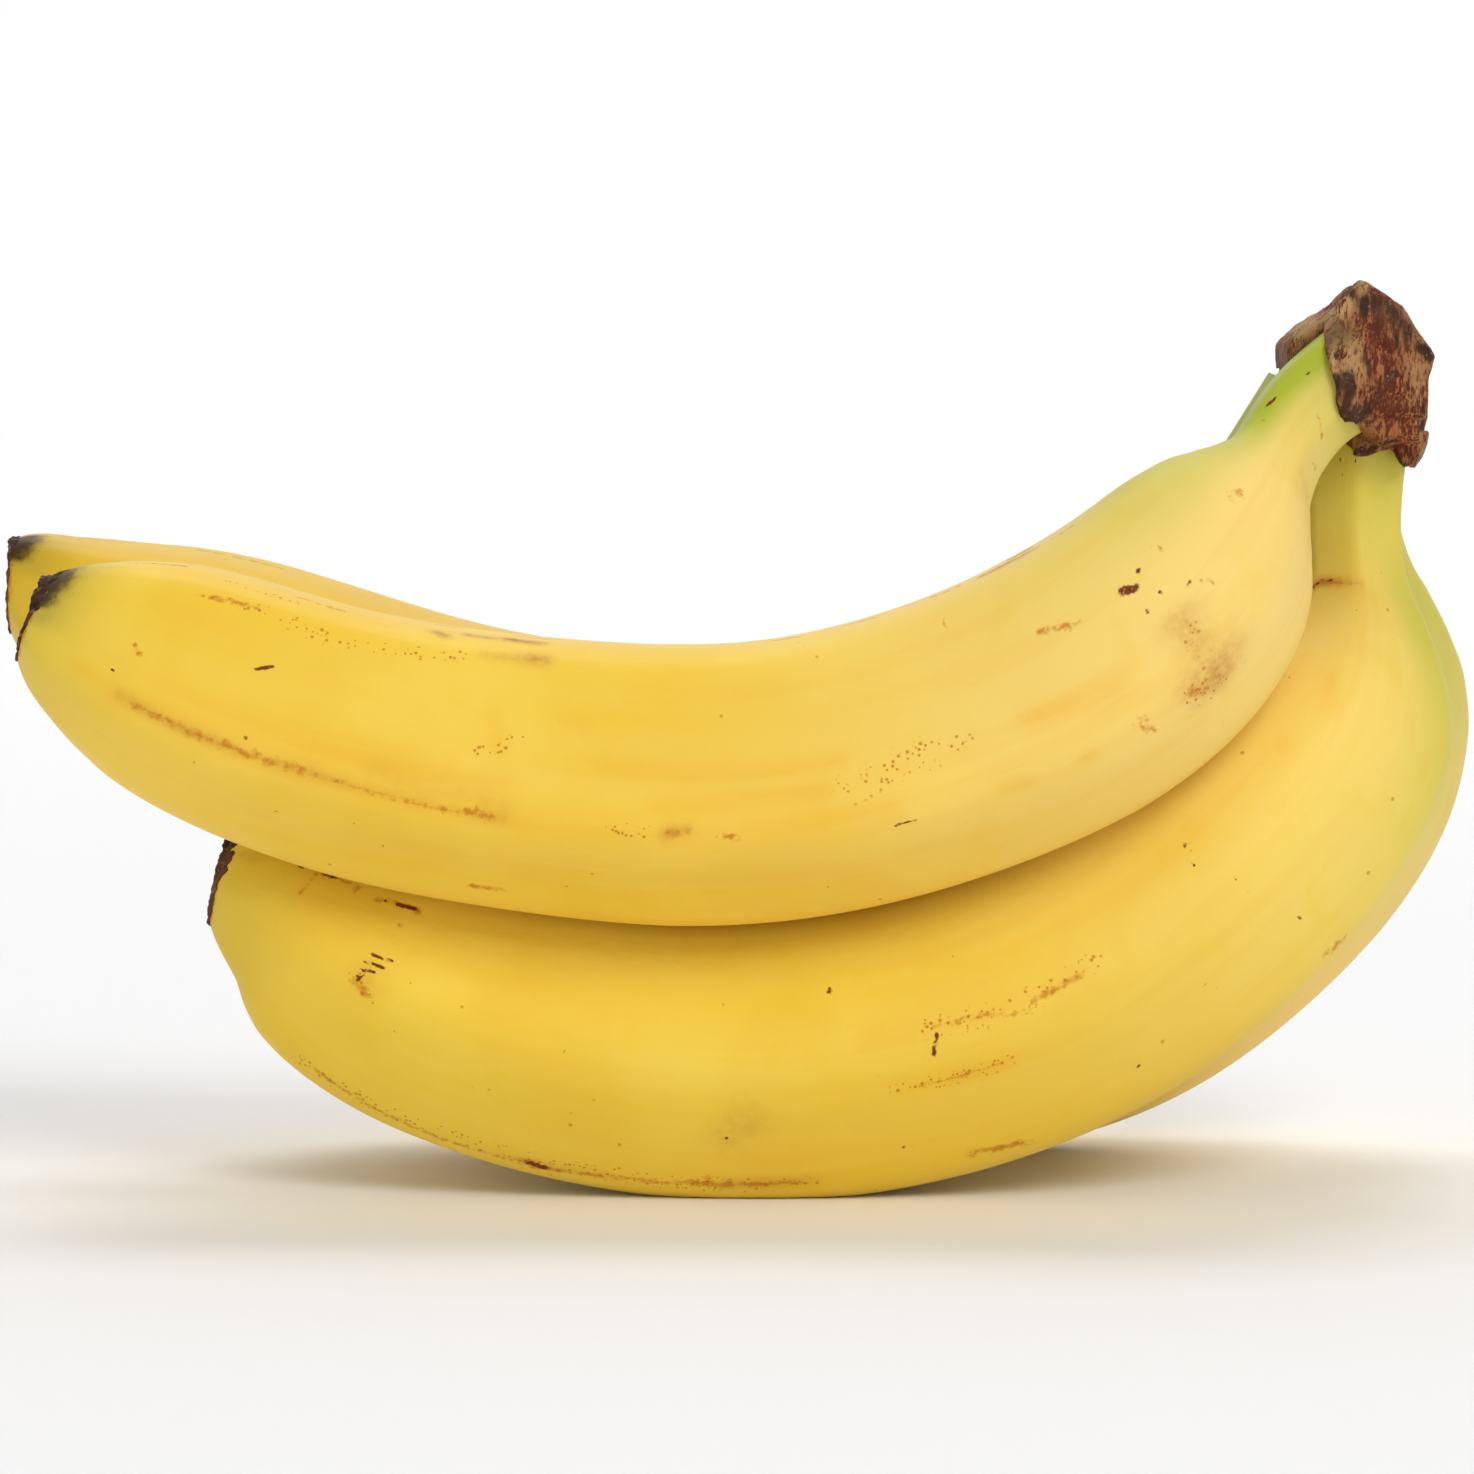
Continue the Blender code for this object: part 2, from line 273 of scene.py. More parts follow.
# centre lines run from the blossom end to the neck, in mm; a mark is a line of (mm along, degrees round from the
# back) pairs, then its width in mm and, for soot, halo and smudge, its strength
fruits = {
    "innerFront": {
        "node": "inner_front", "rings": 380, "round": 216, "cutAtFloor": False, "half": 18.1, "neck": 18.0,
        "flare": 0.26, "turn": 0.0, "slant": 0.0, "taper": 1.0, "green": 0.95, "greenSide": 175, "greenFrom": 0.25,
        "neckGreen": 0.62, "greenStart": -20,
        "route": [(-89.6, -31.0, 75.8), (-78.1, -31.5, 71.1), (-52.3, -32.5, 61.5), (-25.3, -33.0, 56.6),
                  (2.1, -33.5, 55.7), (28.7, -35.0, 62.0), (52.3, -36.0, 75.3), (61.6, -31.0, 85.3),
                  (69.2, -22.5, 95.6), (75.4, -17.2, 103.5), (83.0, -14.6, 108.6)],
        "scar": {"proud": [(0, 0.3), (100, 0.35), (125, 0.9), (190, 0.8), (230, 0.4)],
                 "wrap": [(0, 0.1), (70, 0.1), (100, 0.4), (125, 1.2), (180, 1.5), (215, 0.4), (260, 0.1)],
                 "burnt": [(0, 0.5), (70, 0.6), (105, 0.8), (125, 0.85), (190, 0.9), (230, 0.6)]},
        "dark": [(147.9, 112.9, 148.9, 110.2, 0.54), (150.5, 115, 0.36), (150.5, 101, 0.31), (153, 95, 0.36),
            (148.5, 99, 0.36), (29.5, 111, 31.5, 115, 0.26), (31.5, 81, 0.32), (37.5, 50, 0.32), (50, 46, 0.3),
            (66, 54, 0.22), (89.5, 54, 0.26), (111.5, 64, 113, 66, 115, 64, 0.2), (184.5, 138, 185.5, 135, 0.5),
            (191, 126, 0.4), (13, 84, 12.2, 86, 0.2), (139, 178, 143, 175, 0.5), (120.5, 56, 0.26), (102, 47, 0.28),
            (165.5, 62, 0.26)],
        "brown": [(17, 74.5, 24, 74.5, 39, 76, 0.75), (47, 75, 58, 73, 63, 73, 0.4), (14, 102, 15, 98, 0.5),
            (138, 118, 142, 113, 0.55), (127, 141, 127, 138, 0.4), (154, 92, 154.8, 86, 0.32),
            (153.5, 118, 154, 114, 0.3), (60, 74, 62.5, 73, 0.8), (84.5, 73, 87, 75, 0.6), (91, 72, 93, 71, 0.5),
            (61, 26, 64.5, 27, 0.7), (19, 137, 23, 138, 27, 139, 0.45), (142, 65, 142.5, 56, 0.7),
            (147, 61, 148, 56, 0.8), (186.5, 81, 184.5, 55, 0.4), (181, 43, 181, 30, 0.5),
            (104, 157, 107, 140, 0.3), (164.5, 103, 1.1), (127, 136, 127.5, 134, 0.25), (8, 163, 15, 162, 0.7),
            (39, 76, 47, 75.3, 0.32), (31, 158, 38, 157, 0.5), (134, 168, 143, 165, 1.0), (146, 160, 150, 158, 0.4),
            (126, 170, 130, 170, 0.8), (112, 171, 116, 170, 0.7), (99.5, 170, 105, 168, 0.7)],
        "dots": [(107, 83.5, 113, 88, 119, 89, 2.1), (119, 89, 125, 90, 1.0), (31, 137, 38, 136, 1.5),
            (20, 150, 32, 152, 0.7), (60, 100, 66, 106, 1.2), (78, 73, 82, 74, 1.2),
            (41, 135, 48, 137, 55.5, 140, 1.1), (147, 60, 149, 52, 1.6), (150, 82, 149.5, 70, 1.0),
            (20, 137, 28, 139, 0.8)],
        "orange": [(76.5, 98, 93.5, 98, 107, 97, 1.6), (87, 97, 2.2), (133, 88, 142, 82, 2.0),
            (61, 118, 62.5, 103, 1.6), (57, 92, 56.5, 87, 1.8), (70.5, 118, 73, 116, 1.4),
            (83, 84, 95, 86, 104, 84, 1.3), (126.5, 67, 129, 66, 1.5), (136, 64, 1.2),
            (24, 80, 36, 84, 52, 84, 62, 80, 4.5), (39, 75, 58, 73, 93, 71, 112, 70, 2.2),
            (8, 78, 15, 75.5, 24, 74.5, 42, 76, 1.5), (12, 76, 26, 74.5, 40, 76, 1.1),
            (14, 76, 25, 77, 40, 78, 3.0)],
        "soot": [(0.2, 112, 1.2, 135, 1.2, 170, 2.3, 1.0)],
        "halo": [(0.5, 100, 1.4, 140, 1.6, 168, 4.2, 1.0)],
        "smudge": [(51.5, 155, 53, 152, 0.9, 1.0), (56, 158, 59, 158, 0.9, 1.0), (61.5, 159, 66, 158, 1.0, 1.1),
            (15, 75.5, 24, 74.5, 40, 76, 1.1, 0.5), (40, 76, 52, 75.5, 64, 73.5, 0.9, 0.4),
            (48, 84, 56, 81, 64, 77, 1.7, 0.22), (84.5, 73, 87, 75, 1.0, 0.5), (149.5, 60, 3.2, 1.0),
            (150, 86, 149.7, 68, 1.9, 0.62), (134, 166, 143, 163, 1.2, 0.5), (64, 143, 67, 143, 1.2, 0.9),
            (63, 174, 66, 173, 1.2, 0.8), (51.5, 180, 54, 180, 1.0, 0.7), (58.5, 143, 63.5, 142, 0.9, 0.5)],
    },
    "innerBack": {
        # its tone darkens the whole peel: painted shade
        "node": "inner_back", "rings": 300, "round": 160, "cutAtFloor": False, "lip": 2.0, "half": 17.7,
        "neck": 12.0, "flare": 0.04, "turn": 0.1, "slant": 0.55, "taper": 0.85, "green": 1.3, "greenSide": 165,
        "greenFrom": -0.6, "neckGreen": 1.2, "greenStart": -20, "shoulderSheen": 0.3, "tone": (0.9, 0.86, 0.7),
        "route": [(-95.8, 5.0, 77.7), (-90.0, 5.0, 74.4), (-83.1, 5.0, 71.6), (-66.9, 4.5, 66.5),
                  (-40.0, 4.0, 57.5), (-18.5, 4.0, 53.2), (2.2, 4.0, 52.3), (30.1, 4.0, 58.3), (54.8, 3.8, 72.1),
                  (62.6, 3.9, 82.2), (69.3, 3.7, 92.9), (76.4, 3.5, 104.0)],
        "scar": {"proud": [(0, 0.25), (120, 0.3), (150, 0.6), (200, 0.4)],
                 "wrap": [(0, 0.1), (120, 0.1), (145, 0.7), (180, 0.9), (205, 0.2)],
                 "burnt": [(0, 0.5), (115, 0.5), (145, 1.0), (185, 1.0), (215, 0.5)]},
        "dark": [(40, 300, 0.4), (77, 262, 0.34), (120, 285, 123, 283, 0.5), (150, 230, 0.36)],
        "brown": [(21, 178, 32, 175, 0.6), (60, 215, 78, 216, 96, 214, 0.45), (110, 262, 120, 260, 0.8)],
        "orange": [(50, 218, 100, 214, 2.0), (130, 250, 142, 244, 2.0)],
        "soot": [(0.3, 128, 1.2, 145, 1.4, 170, 2.2, 1.0)],
        "halo": [(0.5, 125, 1.5, 150, 4.2, 1.0)],
        "smudge": [(86, 276, 89, 275, 1.6, 0.6)],
    },
    "outerFront": {
        "node": "outer_front", "rings": 380, "round": 216, "cutAtFloor": True, "half": 18.7, "neck": 18.0,
        "flare": 0.06, "turn": -0.33, "slant": 0.1, "taper": 1.0, "green": 0.66, "greenSide": 5, "greenFrom": 0.35,
        "neckGreen": 0.7, "greenStart": 14, "shoulderSheen": 0.6, "tone": (0.985, 1.02, 0.95),
        "route": [(-67.0, -15.0, 40.5), (-59.8, -15.5, 37.4), (-50.3, -16.3, 30.9), (-29.8, -17.6, 22.0),
                  (-3.2, -18.4, 17.8), (24.4, -18.6, 20.8), (48.0, -18.6, 30.6), (67.2, -17.6, 47.0),
                  (78.6, -14.5, 62.3), (82.1, -10.6, 75.0), (81.75, -7.4, 85.2), (82.7, -6.0, 100.0)],
        "scar": {"proud": [(0, 0.3), (60, 0.5), (100, 0.5), (135, 0.9), (200, 0.4)],
                 "wrap": [(0, 0.2), (60, 0.2), (95, 0.5), (120, 1.1), (140, 1.7), (175, 1.5), (220, 0.3)],
                 "burnt": [(0, 0.5), (60, 0.6), (100, 0.5), (140, 0.8), (180, 0.9), (230, 0.5)]},
        "dark": [(85.5, 122, 0.5), (98.5, 95, 97.5, 88, 0.3), (22.0, 101, 25.3, 103, 0.22),
            (21.9, 97, 24.9, 99, 0.22), (22.2, 93.3, 23.8, 95, 0.2), (22.2, 90, 23.0, 91, 0.2), (22.5, 88, 0.24),
            (24, 86, 0.22), (29.5, 76, 0.3), (50, 91, 0.34), (40.5, 64, 0.28), (52.5, 64, 0.28), (94.5, 59, 0.32),
            (91.5, 47, 0.3), (71, 60, 0.26), (103.5, 125, 0.26), (140, 112, 0.42), (139, 104, 0.32),
            (141.5, 89, 0.3), (141.5, 81, 0.26), (143.5, 54, 0.4), (117.5, 52, 0.28), (119, 55, 0.28),
            (119.5, 45, 0.3), (202, 119, 0.34), (202, 98, 0.34), (200, 114, 0.28), (198.7, 114, 0.24),
            (179.5, 99, 0.28), (176.5, 71, 0.26), (8.5, 124, 0.32), (11.2, 125.5, 12.4, 126.2, 0.3),
            (19.5, 128.5, 0.3), (21.5, 130, 24.4, 132, 0.36), (48.5, 29, 50.5, 28, 0.5), (149, 5, 150.5, 9, 0.4),
            (184.5, 158, 185.4, 144, 185.0, 128, 0.19)],
        "brown": [(18.5, 128, 25, 132, 0.7), (11, 125, 14, 127.5, 0.5),
            (23, 31, 32, 28, 39.5, 27, 49, 28, 59, 31, 69.5, 33, 80, 34, 0.5),
            (184.2, 162, 185.2, 146, 184.7, 126, 0.5), (184.5, 124, 184.0, 108, 0.36),
            (184.0, 106, 183.6, 93, 0.24), (48, 29, 51, 28, 1.3), (68, 33, 71, 33, 1.2), (99, 34, 105.5, 31, 0.8),
            (98.5, 98, 104.5, 97, 111, 92, 0.42), (93.5, 77, 97.5, 77, 105.5, 76, 0.34), (148.5, 5, 150.5, 10, 1.0),
            (143.5, 28, 145.5, 25, 0.8), (15, 124, 15.5, 128, 0.4), (10, 106, 10.5, 126, 0.28),
            (22, 88, 24.5, 85, 0.7), (23.5, 120, 0.5), (112, 95, 119, 96, 0.5), (123, 50, 0.4), (130.5, 62, 0.34),
            (131.5, 56, 0.34)],
        "dots": [(98, 98, 104, 97, 112, 93, 1.6), (92, 78, 106, 76, 1.1), (22, 88, 24.5, 84, 1.3),
            (110, 96, 121, 97, 1.6), (22, 30, 80, 33, 1.5)],
        "orange": [(89.5, 99, 101, 101, 119, 96, 1.6), (168, 106, 165, 101, 1.8), (157.5, 109, 1.6),
            (125.5, 97, 2.0), (93, 78, 106, 76, 1.8), (183.5, 118, 184, 105, 2.2)],
        "smudge": [(184.4, 162, 185.2, 146, 184.8, 130, 0.9, 1.0), (184.8, 128, 184.4, 116, 0.9, 0.7),
            (184.3, 114, 184.0, 104, 0.9, 0.42), (183.9, 102, 183.6, 92, 0.9, 0.2), (71, 33, 80, 34, 1.2, 0.45),
            (45, 29, 58, 31, 0.9, 0.3), (153, 4, 153.5, 7, 1.6, 0.7), (71, 60, 73, 70, 3.0, 0.35),
            (2.5, 125, 2.0, 0.4), (23.5, 92, 2.4, 0.3)],
    },
    "outerBack": {
        "node": "outer_back", "rings": 300, "round": 160, "cutAtFloor": True, "half": 18.5, "neck": 15.0,
        "flare": 0.06, "turn": 0.16, "slant": 0.1, "taper": 1.0, "green": 0.6, "greenSide": 40, "greenFrom": 0.1,
        "neckGreen": 0.35, "greenStart": 8,
        "route": [(-60.0, 18.5, 38.0), (-46.3, 19.3, 29.5), (-24.4, 20.0, 21.6), (3.2, 20.3, 17.8),
                  (28.0, 20.3, 18.0), (51.2, 20.3, 23.8), (65.3, 20.3, 33.6), (74.4, 19.8, 43.0),
                  (80.7, 18.8, 52.4), (84.3, 16.8, 63.8), (85.4, 14.0, 76.2), (83.8, 12.8, 87.2),
                  (84.2, 12.5, 99.6)],
        "scar": {"proud": [(0, 0.4), (180, 0.6), (300, 0.4)],
                 "wrap": [(0, 0.2), (150, 0.9), (200, 1.0), (280, 0.3)],
                 "burnt": [(0, 0.5), (150, 0.8), (210, 0.9), (290, 0.5)]},
        "dark": [(35, 280, 0.4), (62, 250, 64, 251, 0.5), (90, 300, 0.34), (131, 262, 0.44), (150, 240, 0.3)],
        "brown": [(40, 280, 64, 278, 92, 279, 0.5), (100, 240, 108, 238, 1.2), (140, 300, 146, 296, 0.8),
            (70, 330, 84, 332, 0.6)],
        "orange": [(38, 280, 100, 279, 2.2), (120, 250, 136, 246, 2.2)],
        "smudge": [(112, 272, 3.2, 0.5), (54, 308, 58, 306, 1.6, 0.6)],
    },
}


def splineThrough(route, count):
    # natural cubic spline through the route by its chord lengths
    route = np.array(route, float)
    knots = np.concatenate([[0], np.cumsum(np.linalg.norm(np.diff(route, axis=0), axis=1))])
    step = np.diff(knots)
    slope = np.diff(route, axis=0) / step[:, None]
    matrix = np.eye(len(knots))
    right = np.zeros_like(route)
    for i in range(1, len(knots) - 1):
        matrix[i, i - 1:i + 2] = step[i - 1], 2 * (step[i - 1] + step[i]), step[i]
        right[i] = 6 * (slope[i] - slope[i - 1])
    bend = np.linalg.solve(matrix, right)
    points = []
    for place in np.linspace(0, knots[-1], count):
        i = int(min(max(np.searchsorted(knots, place) - 1, 0), len(knots) - 2))
        a = (knots[i + 1] - place) / step[i]
        b = 1 - a
        curve = ((a ** 3 - a) * bend[i] + (b ** 3 - b) * bend[i + 1]) * step[i] ** 2 / 6
        points.append(a * route[i] + b * route[i + 1] + curve)
    return np.array(points)


def makeSpine(name, route):
    points = (splineThrough(route, peel["spinePoints"]) - (*origin, 0)) * mm
    mesh = bpy.data.meshes.new(name)
    mesh.from_pydata([tuple(p) for p in points], [(i, i + 1) for i in range(len(points) - 1)], [])
    return addObject(name, mesh)


def buildFiveRidges():
    # distance to the skin at an angle from the back, for a face distance of one
    tree, given, result = newTree(
        "fiveRidges", "GeometryNodeTree",
        [("Angle", "NodeSocketFloat", 0.0), ("Sharpness", "NodeSocketFloat", 5.5)], [("Radius", "NodeSocketFloat")])
    fifth = math.tau / 5
    fold = calc(tree, "ABSOLUTE", minus(tree, calc(tree, "FLOORED_MODULO", given["Angle"], fifth), fifth / 2))
    total = 0.0
    for facing in (fold, minus(tree, fifth, fold), plus(tree, fifth, fold)):
        near = calc(tree, "MAXIMUM", calc(tree, "COSINE", facing), 0.0)
        total = plus(tree, total, calc(tree, "POWER", near, given["Sharpness"]))
    plug(tree, result["Radius"], calc(tree, "POWER", total, calc(tree, "DIVIDE", -1.0, given["Sharpness"])))
    return tree


def girthCurve(tree, table, value):
    # a short table of (mm, share) as a smooth curve
    reach = table[-1][0]
    node = put(tree, "ShaderNodeFloatCurve", {"Value": calc(tree, "DIVIDE", value, reach * mm, clamp=True)})
    curve = node.mapping.curves[0]
    while len(curve.points) < len(table):
        curve.points.new(0.5, 0.5)
    for point, (place, share) in zip(curve.points, table):
        point.location = (place / reach, share)
    node.mapping.use_clip = False
    node.mapping.update()
    return node.outputs[0]


def fadeFromTip(tree, place, reach):
    # one at the blossom end, zero from the reach on
    return calc(tree, "MAXIMUM", minus(tree, 1.0, calc(tree, "DIVIDE", place, reach * mm)), 0.0)


def buildPeelSweep():
    number = "NodeSocketFloat"
    tree, given, result = newTree(
        "peelSweep", "GeometryNodeTree",
        [("Spine", "NodeSocketGeometry", None), ("Rings", "NodeSocketInt", 300), ("Points round", "NodeSocketInt", 160),
         ("Full half", number, 0.018), ("Neck half", number, 0.0059), ("Neck length", number, 0.015),
         ("Neck flare", number, 0.06), ("Ridge turn", number, 0.0), ("Ridge sharpness", number, 5.5),
         ("Side share", number, 0.97), ("Tip slant", number, 0.0), ("Tip taper", number, 1.0),
         ("Tip lip", number, 0.0008), ("Lowest", number, -1.0), ("Uneven size", number, 26.0),
         ("Uneven depth", number, 0.0002), ("Seed", number, 1.0), ("Peel", "NodeSocketMaterial", None)],
        [("Geometry", "NodeSocketGeometry")])
    fiveRidges = buildFiveRidges()
    spine = put(tree, "GeometryNodeMeshToCurve", {0: given["Spine"]}).outputs[0]
    length = put(tree, "GeometryNodeCurveLength", {0: spine}).outputs[0]
    evenSpine = put(tree, "GeometryNodeResampleCurve", {"Curve": spine, "Count": given["Rings"]}).outputs[0]
    hoop = put(tree, "GeometryNodeCurvePrimitiveCircle",
               {"Resolution": given["Points round"], "Radius": 0.01}).outputs[0]
    tube = put(tree, "GeometryNodeCurveToMesh",
               {"Curve": evenSpine, "Profile Curve": hoop, "Fill Caps": True}).outputs[0]

    # where each point stands: ring along the fruit, angle round it
    index = put(tree, "GeometryNodeInputIndex").outputs[0]
    ring = calc(tree, "FLOOR", calc(tree, "DIVIDE", index, given["Points round"]))
    column = minus(tree, index, times(tree, ring, given["Points round"]))
    angle = times(tree, calc(tree, "DIVIDE", column, given["Points round"]), math.tau)
    even = calc(tree, "DIVIDE", ring, minus(tree, given["Rings"], 1.0))
    crowd = times(tree, calc(tree, "SINE", times(tree, even, math.tau)), peel["crowding"] / math.tau)
    share = minus(tree, even, crowd, clamp=True)
    place = times(tree, share, length)
    left = minus(tree, length, place)
    sample = put(tree, "GeometryNodeSampleCurve", {"Curves": spine, "Factor": share}, mode="FACTOR").outputs
    centre, tangent = sample["Position"], sample["Tangent"]

    # half thickness from the blossom end and from the neck, whichever is less
    fade = calc(tree, "EXPONENT", calc(tree, "DIVIDE", place, -peel["taperReach"] * mm))
    blunt = times(tree, minus(tree, 1.0, given["Tip taper"]), fade)
    eased = times(tree, place, minus(tree, 1.0, blunt))
    fromTip = girthCurve(tree, peel["tipGirth"], eased)
    fromNeck = girthCurve(tree, peel["shoulderGirth"], minus(tree, left, given["Neck length"]))
    flare = calc(tree, "EXPONENT", calc(tree, "DIVIDE", left, -peel["flareReach"] * mm))
    flare = times(tree, given["Neck flare"], flare)
    neckShare = calc(tree, "DIVIDE", given["Neck half"], given["Full half"])
    neckShare = times(tree, neckShare, plus(tree, 1.0, flare))
    fromNeck = plus(tree, neckShare, times(tree, minus(tree, 1.0, neckShare), fromNeck))
    girth = calc(tree, "MINIMUM", fromTip, fromNeck)
    half = times(tree, given["Full half"], girth)

    # five-sided section, sharper at the neck
    nearNeck = remap(tree, share, *peel["neckSharpFrom"], 0.0, peel["neckSharpness"], "LINEAR")
    sharpness = plus(tree, given["Ridge sharpness"], nearNeck)
    turned = plus(tree, angle, given["Ridge turn"])
    radius = useGroup(tree, fiveRidges, {"Angle": turned, "Sharpness": sharpness})[0]
    ridgeRadius = useGroup(tree, fiveRidges, {"Angle": 0.0, "Sharpness": sharpness})[0]
    faceRadius = useGroup(tree, fiveRidges, {"Angle": math.pi, "Sharpness": sharpness})[0]
    scale = calc(tree, "DIVIDE", times(tree, half, 2.0), plus(tree, ridgeRadius, faceRadius))
    reach = times(tree, scale, radius)

    # directions across the fruit: towards the camera side and to the back
    front = put(tree, "ShaderNodeCombineXYZ", {"Y": -1.0}).outputs[0]
    lean = scaled(tree, tangent, vec(tree, "DOT_PRODUCT", tangent, front))
    side = vec(tree, "NORMALIZE", vec(tree, "SUBTRACT", front, lean))
    back = vec(tree, "CROSS_PRODUCT", tangent, side)
    cosine = calc(tree, "COSINE", angle)
    sine = calc(tree, "SINE", angle)
    backReach = times(tree, reach, cosine)
    sideReach = times(tree, times(tree, reach, sine), given["Side share"])
    nearTip = fadeFromTip(tree, place, peel["slantReach"])
    slantReach = times(tree, times(tree, backReach, given["Tip slant"]), nearTip)
    point = vec(tree, "ADD", centre, scaled(tree, back, backReach))
    point = vec(tree, "ADD", point, scaled(tree, side, sideReach))
    point = vec(tree, "ADD", point, scaled(tree, tangent, slantReach))
    lip = times(tree, given["Tip lip"], fadeFromTip(tree, place, peel["lipReach"]))
    point = vec(tree, "SUBTRACT", point, scaled(tree, tangent, lip))
    swept = put(tree, "GeometryNodeSetPosition", {"Geometry": tube, "Position": point}).outputs[0]

    # slight unevenness, then the flat that it rests on
    position = put(tree, "GeometryNodeInputPosition").outputs[0]
    normal = put(tree, "GeometryNodeInputNormal").outputs[0]
    wave = put(tree, "ShaderNodeTexNoise", {"Vector": position, "W": given["Seed"], "Scale": given["Uneven size"],
                                            "Detail": 2.0}, noise_dimensions="4D").outputs[0]
    depth = times(tree, swing(tree, wave, given["Uneven depth"]), girth)
    uneven = put(tree, "GeometryNodeSetPosition", {"Geometry": swept, "Offset": scaled(tree, normal, depth)}).outputs[0]
    settled = put(tree, "ShaderNodeSeparateXYZ", {0: position}).outputs
    lowered = put(tree, "ShaderNodeCombineXYZ", {"X": settled[0], "Y": settled[1],
                                                "Z": calc(tree, "MAXIMUM", settled[2], given["Lowest"])}).outputs[0]
    resting = put(tree, "GeometryNodeSetPosition", {"Geometry": uneven, "Position": lowered}).outputs[0]

    # for the material: the place on the peel as (cosine, sine, along), and what is left to the neck
    placeOnPeel = put(tree, "ShaderNodeCombineXYZ", {"X": cosine, "Y": sine, "Z": place}).outputs[0]
    stored = resting
    for name, value, kind in (("peelPlace", placeOnPeel, "FLOAT_VECTOR"), ("peelLeft", left, "FLOAT")):
        stored = put(tree, "GeometryNodeStoreNamedAttribute", {"Geometry": stored, "Name": name, "Value": value},
                     data_type=kind, domain="POINT").outputs[0]
    smooth = put(tree, "GeometryNodeSetShadeSmooth", {"Geometry": stored}).outputs[0]
    whole = put(tree, "GeometryNodeRealizeInstances", {"Geometry": smooth}).outputs[0]
    painted = put(tree, "GeometryNodeSetMaterial", {"Geometry": whole, "Material": given["Peel"]}).outputs[0]
    plug(tree, result["Geometry"], painted)
    return tree


def markDistance(place, line):
    # distance in mm over the peel from each point to a mark's line
    along, around = place
    best = np.full(len(along), 1e3)
    path = list(zip(line[::2], line[1::2]))
    ends = list(zip(path[:-1], path[1:])) or [(path[0], path[0])]
    for first, last in ends:
        turn = np.radians(first[1])
        across = np.arctan2(np.sin(around - turn), np.cos(around - turn)) * peel["roundRadius"]
        offset = along - first[0]
        stepAlong = last[0] - first[0]
        stepAcross = math.radians(last[1] - first[1]) * peel["roundRadius"]
        size = stepAlong ** 2 + stepAcross ** 2
        share = np.clip((offset * stepAlong + across * stepAcross) / size, 0, 1) if size > 0 else 0
        best = np.minimum(best, np.hypot(offset - share * stepAlong, across - share * stepAcross))
    return best


def paintMarks(mesh, fruit):
    # dark, brown and dots hold the distance over the mark's width, the other kinds a tint
    farAway = 6.0
    values = np.zeros(len(mesh.vertices) * 3, np.float32)
    mesh.attributes["peelPlace"].data.foreach_get("vector", values)
    values = values.reshape(-1, 3)
    place = (values[:, 2] / mm, np.arctan2(values[:, 1], values[:, 0]))
    for kind in ("dark", "brown", "dots"):
        distance = np.full(len(values), farAway)
        for *line, width in fruit.get(kind, []):
            distance = np.minimum(distance, markDistance(place, line) / width)
        storeValues(mesh, kind + "Mark", distance)
    for kind in ("orange", "smudge", "soot", "halo"):
        tint = np.zeros(len(values))
        for mark in fruit.get(kind, []):
            *line, width, strength = mark if kind != "orange" else (*mark, 1.0)
            tint = np.maximum(tint, strength * np.exp(-(markDistance(place, line) / width) ** 2))
        storeValues(mesh, kind + "Mark", tint)


# Peel material

peelLook = {
    "yellow": (0.92, 0.63, 0.060), "deepYellow": (0.88, 0.565, 0.036), "paleYellowSheen": (0.95, 0.69, 0.215),
    "green": (0.42, 0.47, 0.035), "dark": (0.19, 0.040, 0.012), "brown": (0.55, 0.150, 0.006),
    "orange": (0.88, 0.44, 0.022), "smudge": (0.48, 0.165, 0.014), "soot": (0.072, 0.043, 0.016),
    "halo": (0.36, 0.28, 0.045), "driedEnd": (0.055, 0.026, 0.012), "driedEndPale": (0.13, 0.060, 0.026),
    # noise scales, from clouds over a whole fruit down to pores
    "cloudScale": 32.0, "patchScale": 90.0, "fineScale": 900.0, "finestScale": 1900.0, "streakScale": 260.0,
    "wideStreakScale": 90.0, "freckleScale": 300.0, "prickScale": 1500.0,
    # strengths of the tints and marks
    "shoulderSheen": 0.85, "wideStreak": 0.20, "patch": 0.22, "streak": 0.12, "tipGreen": 0.16, "freckle": 0.6,
    "brownMark": 0.78, "dots": 0.75, "rim": 0.6,
    # where the tints fade, in mm from the neck or from the blossom end
    "shoulderSheenReach": (125.0, 35.0), "neckGreenReach": (34.0, 4.0), "sideGreenReach": (75.0, 18.0),
    "sideGreenFade": 16.0, "tipGreenReach": (14.0, 1.0), "rimReach": (0.6, 0.1), "rimRagged": 1.6,
    "endReach": (0.04, 0.01),
    "roughness": 0.42, "specular": 0.18, "ior": 1.42, "poreDepth": 0.08,
}


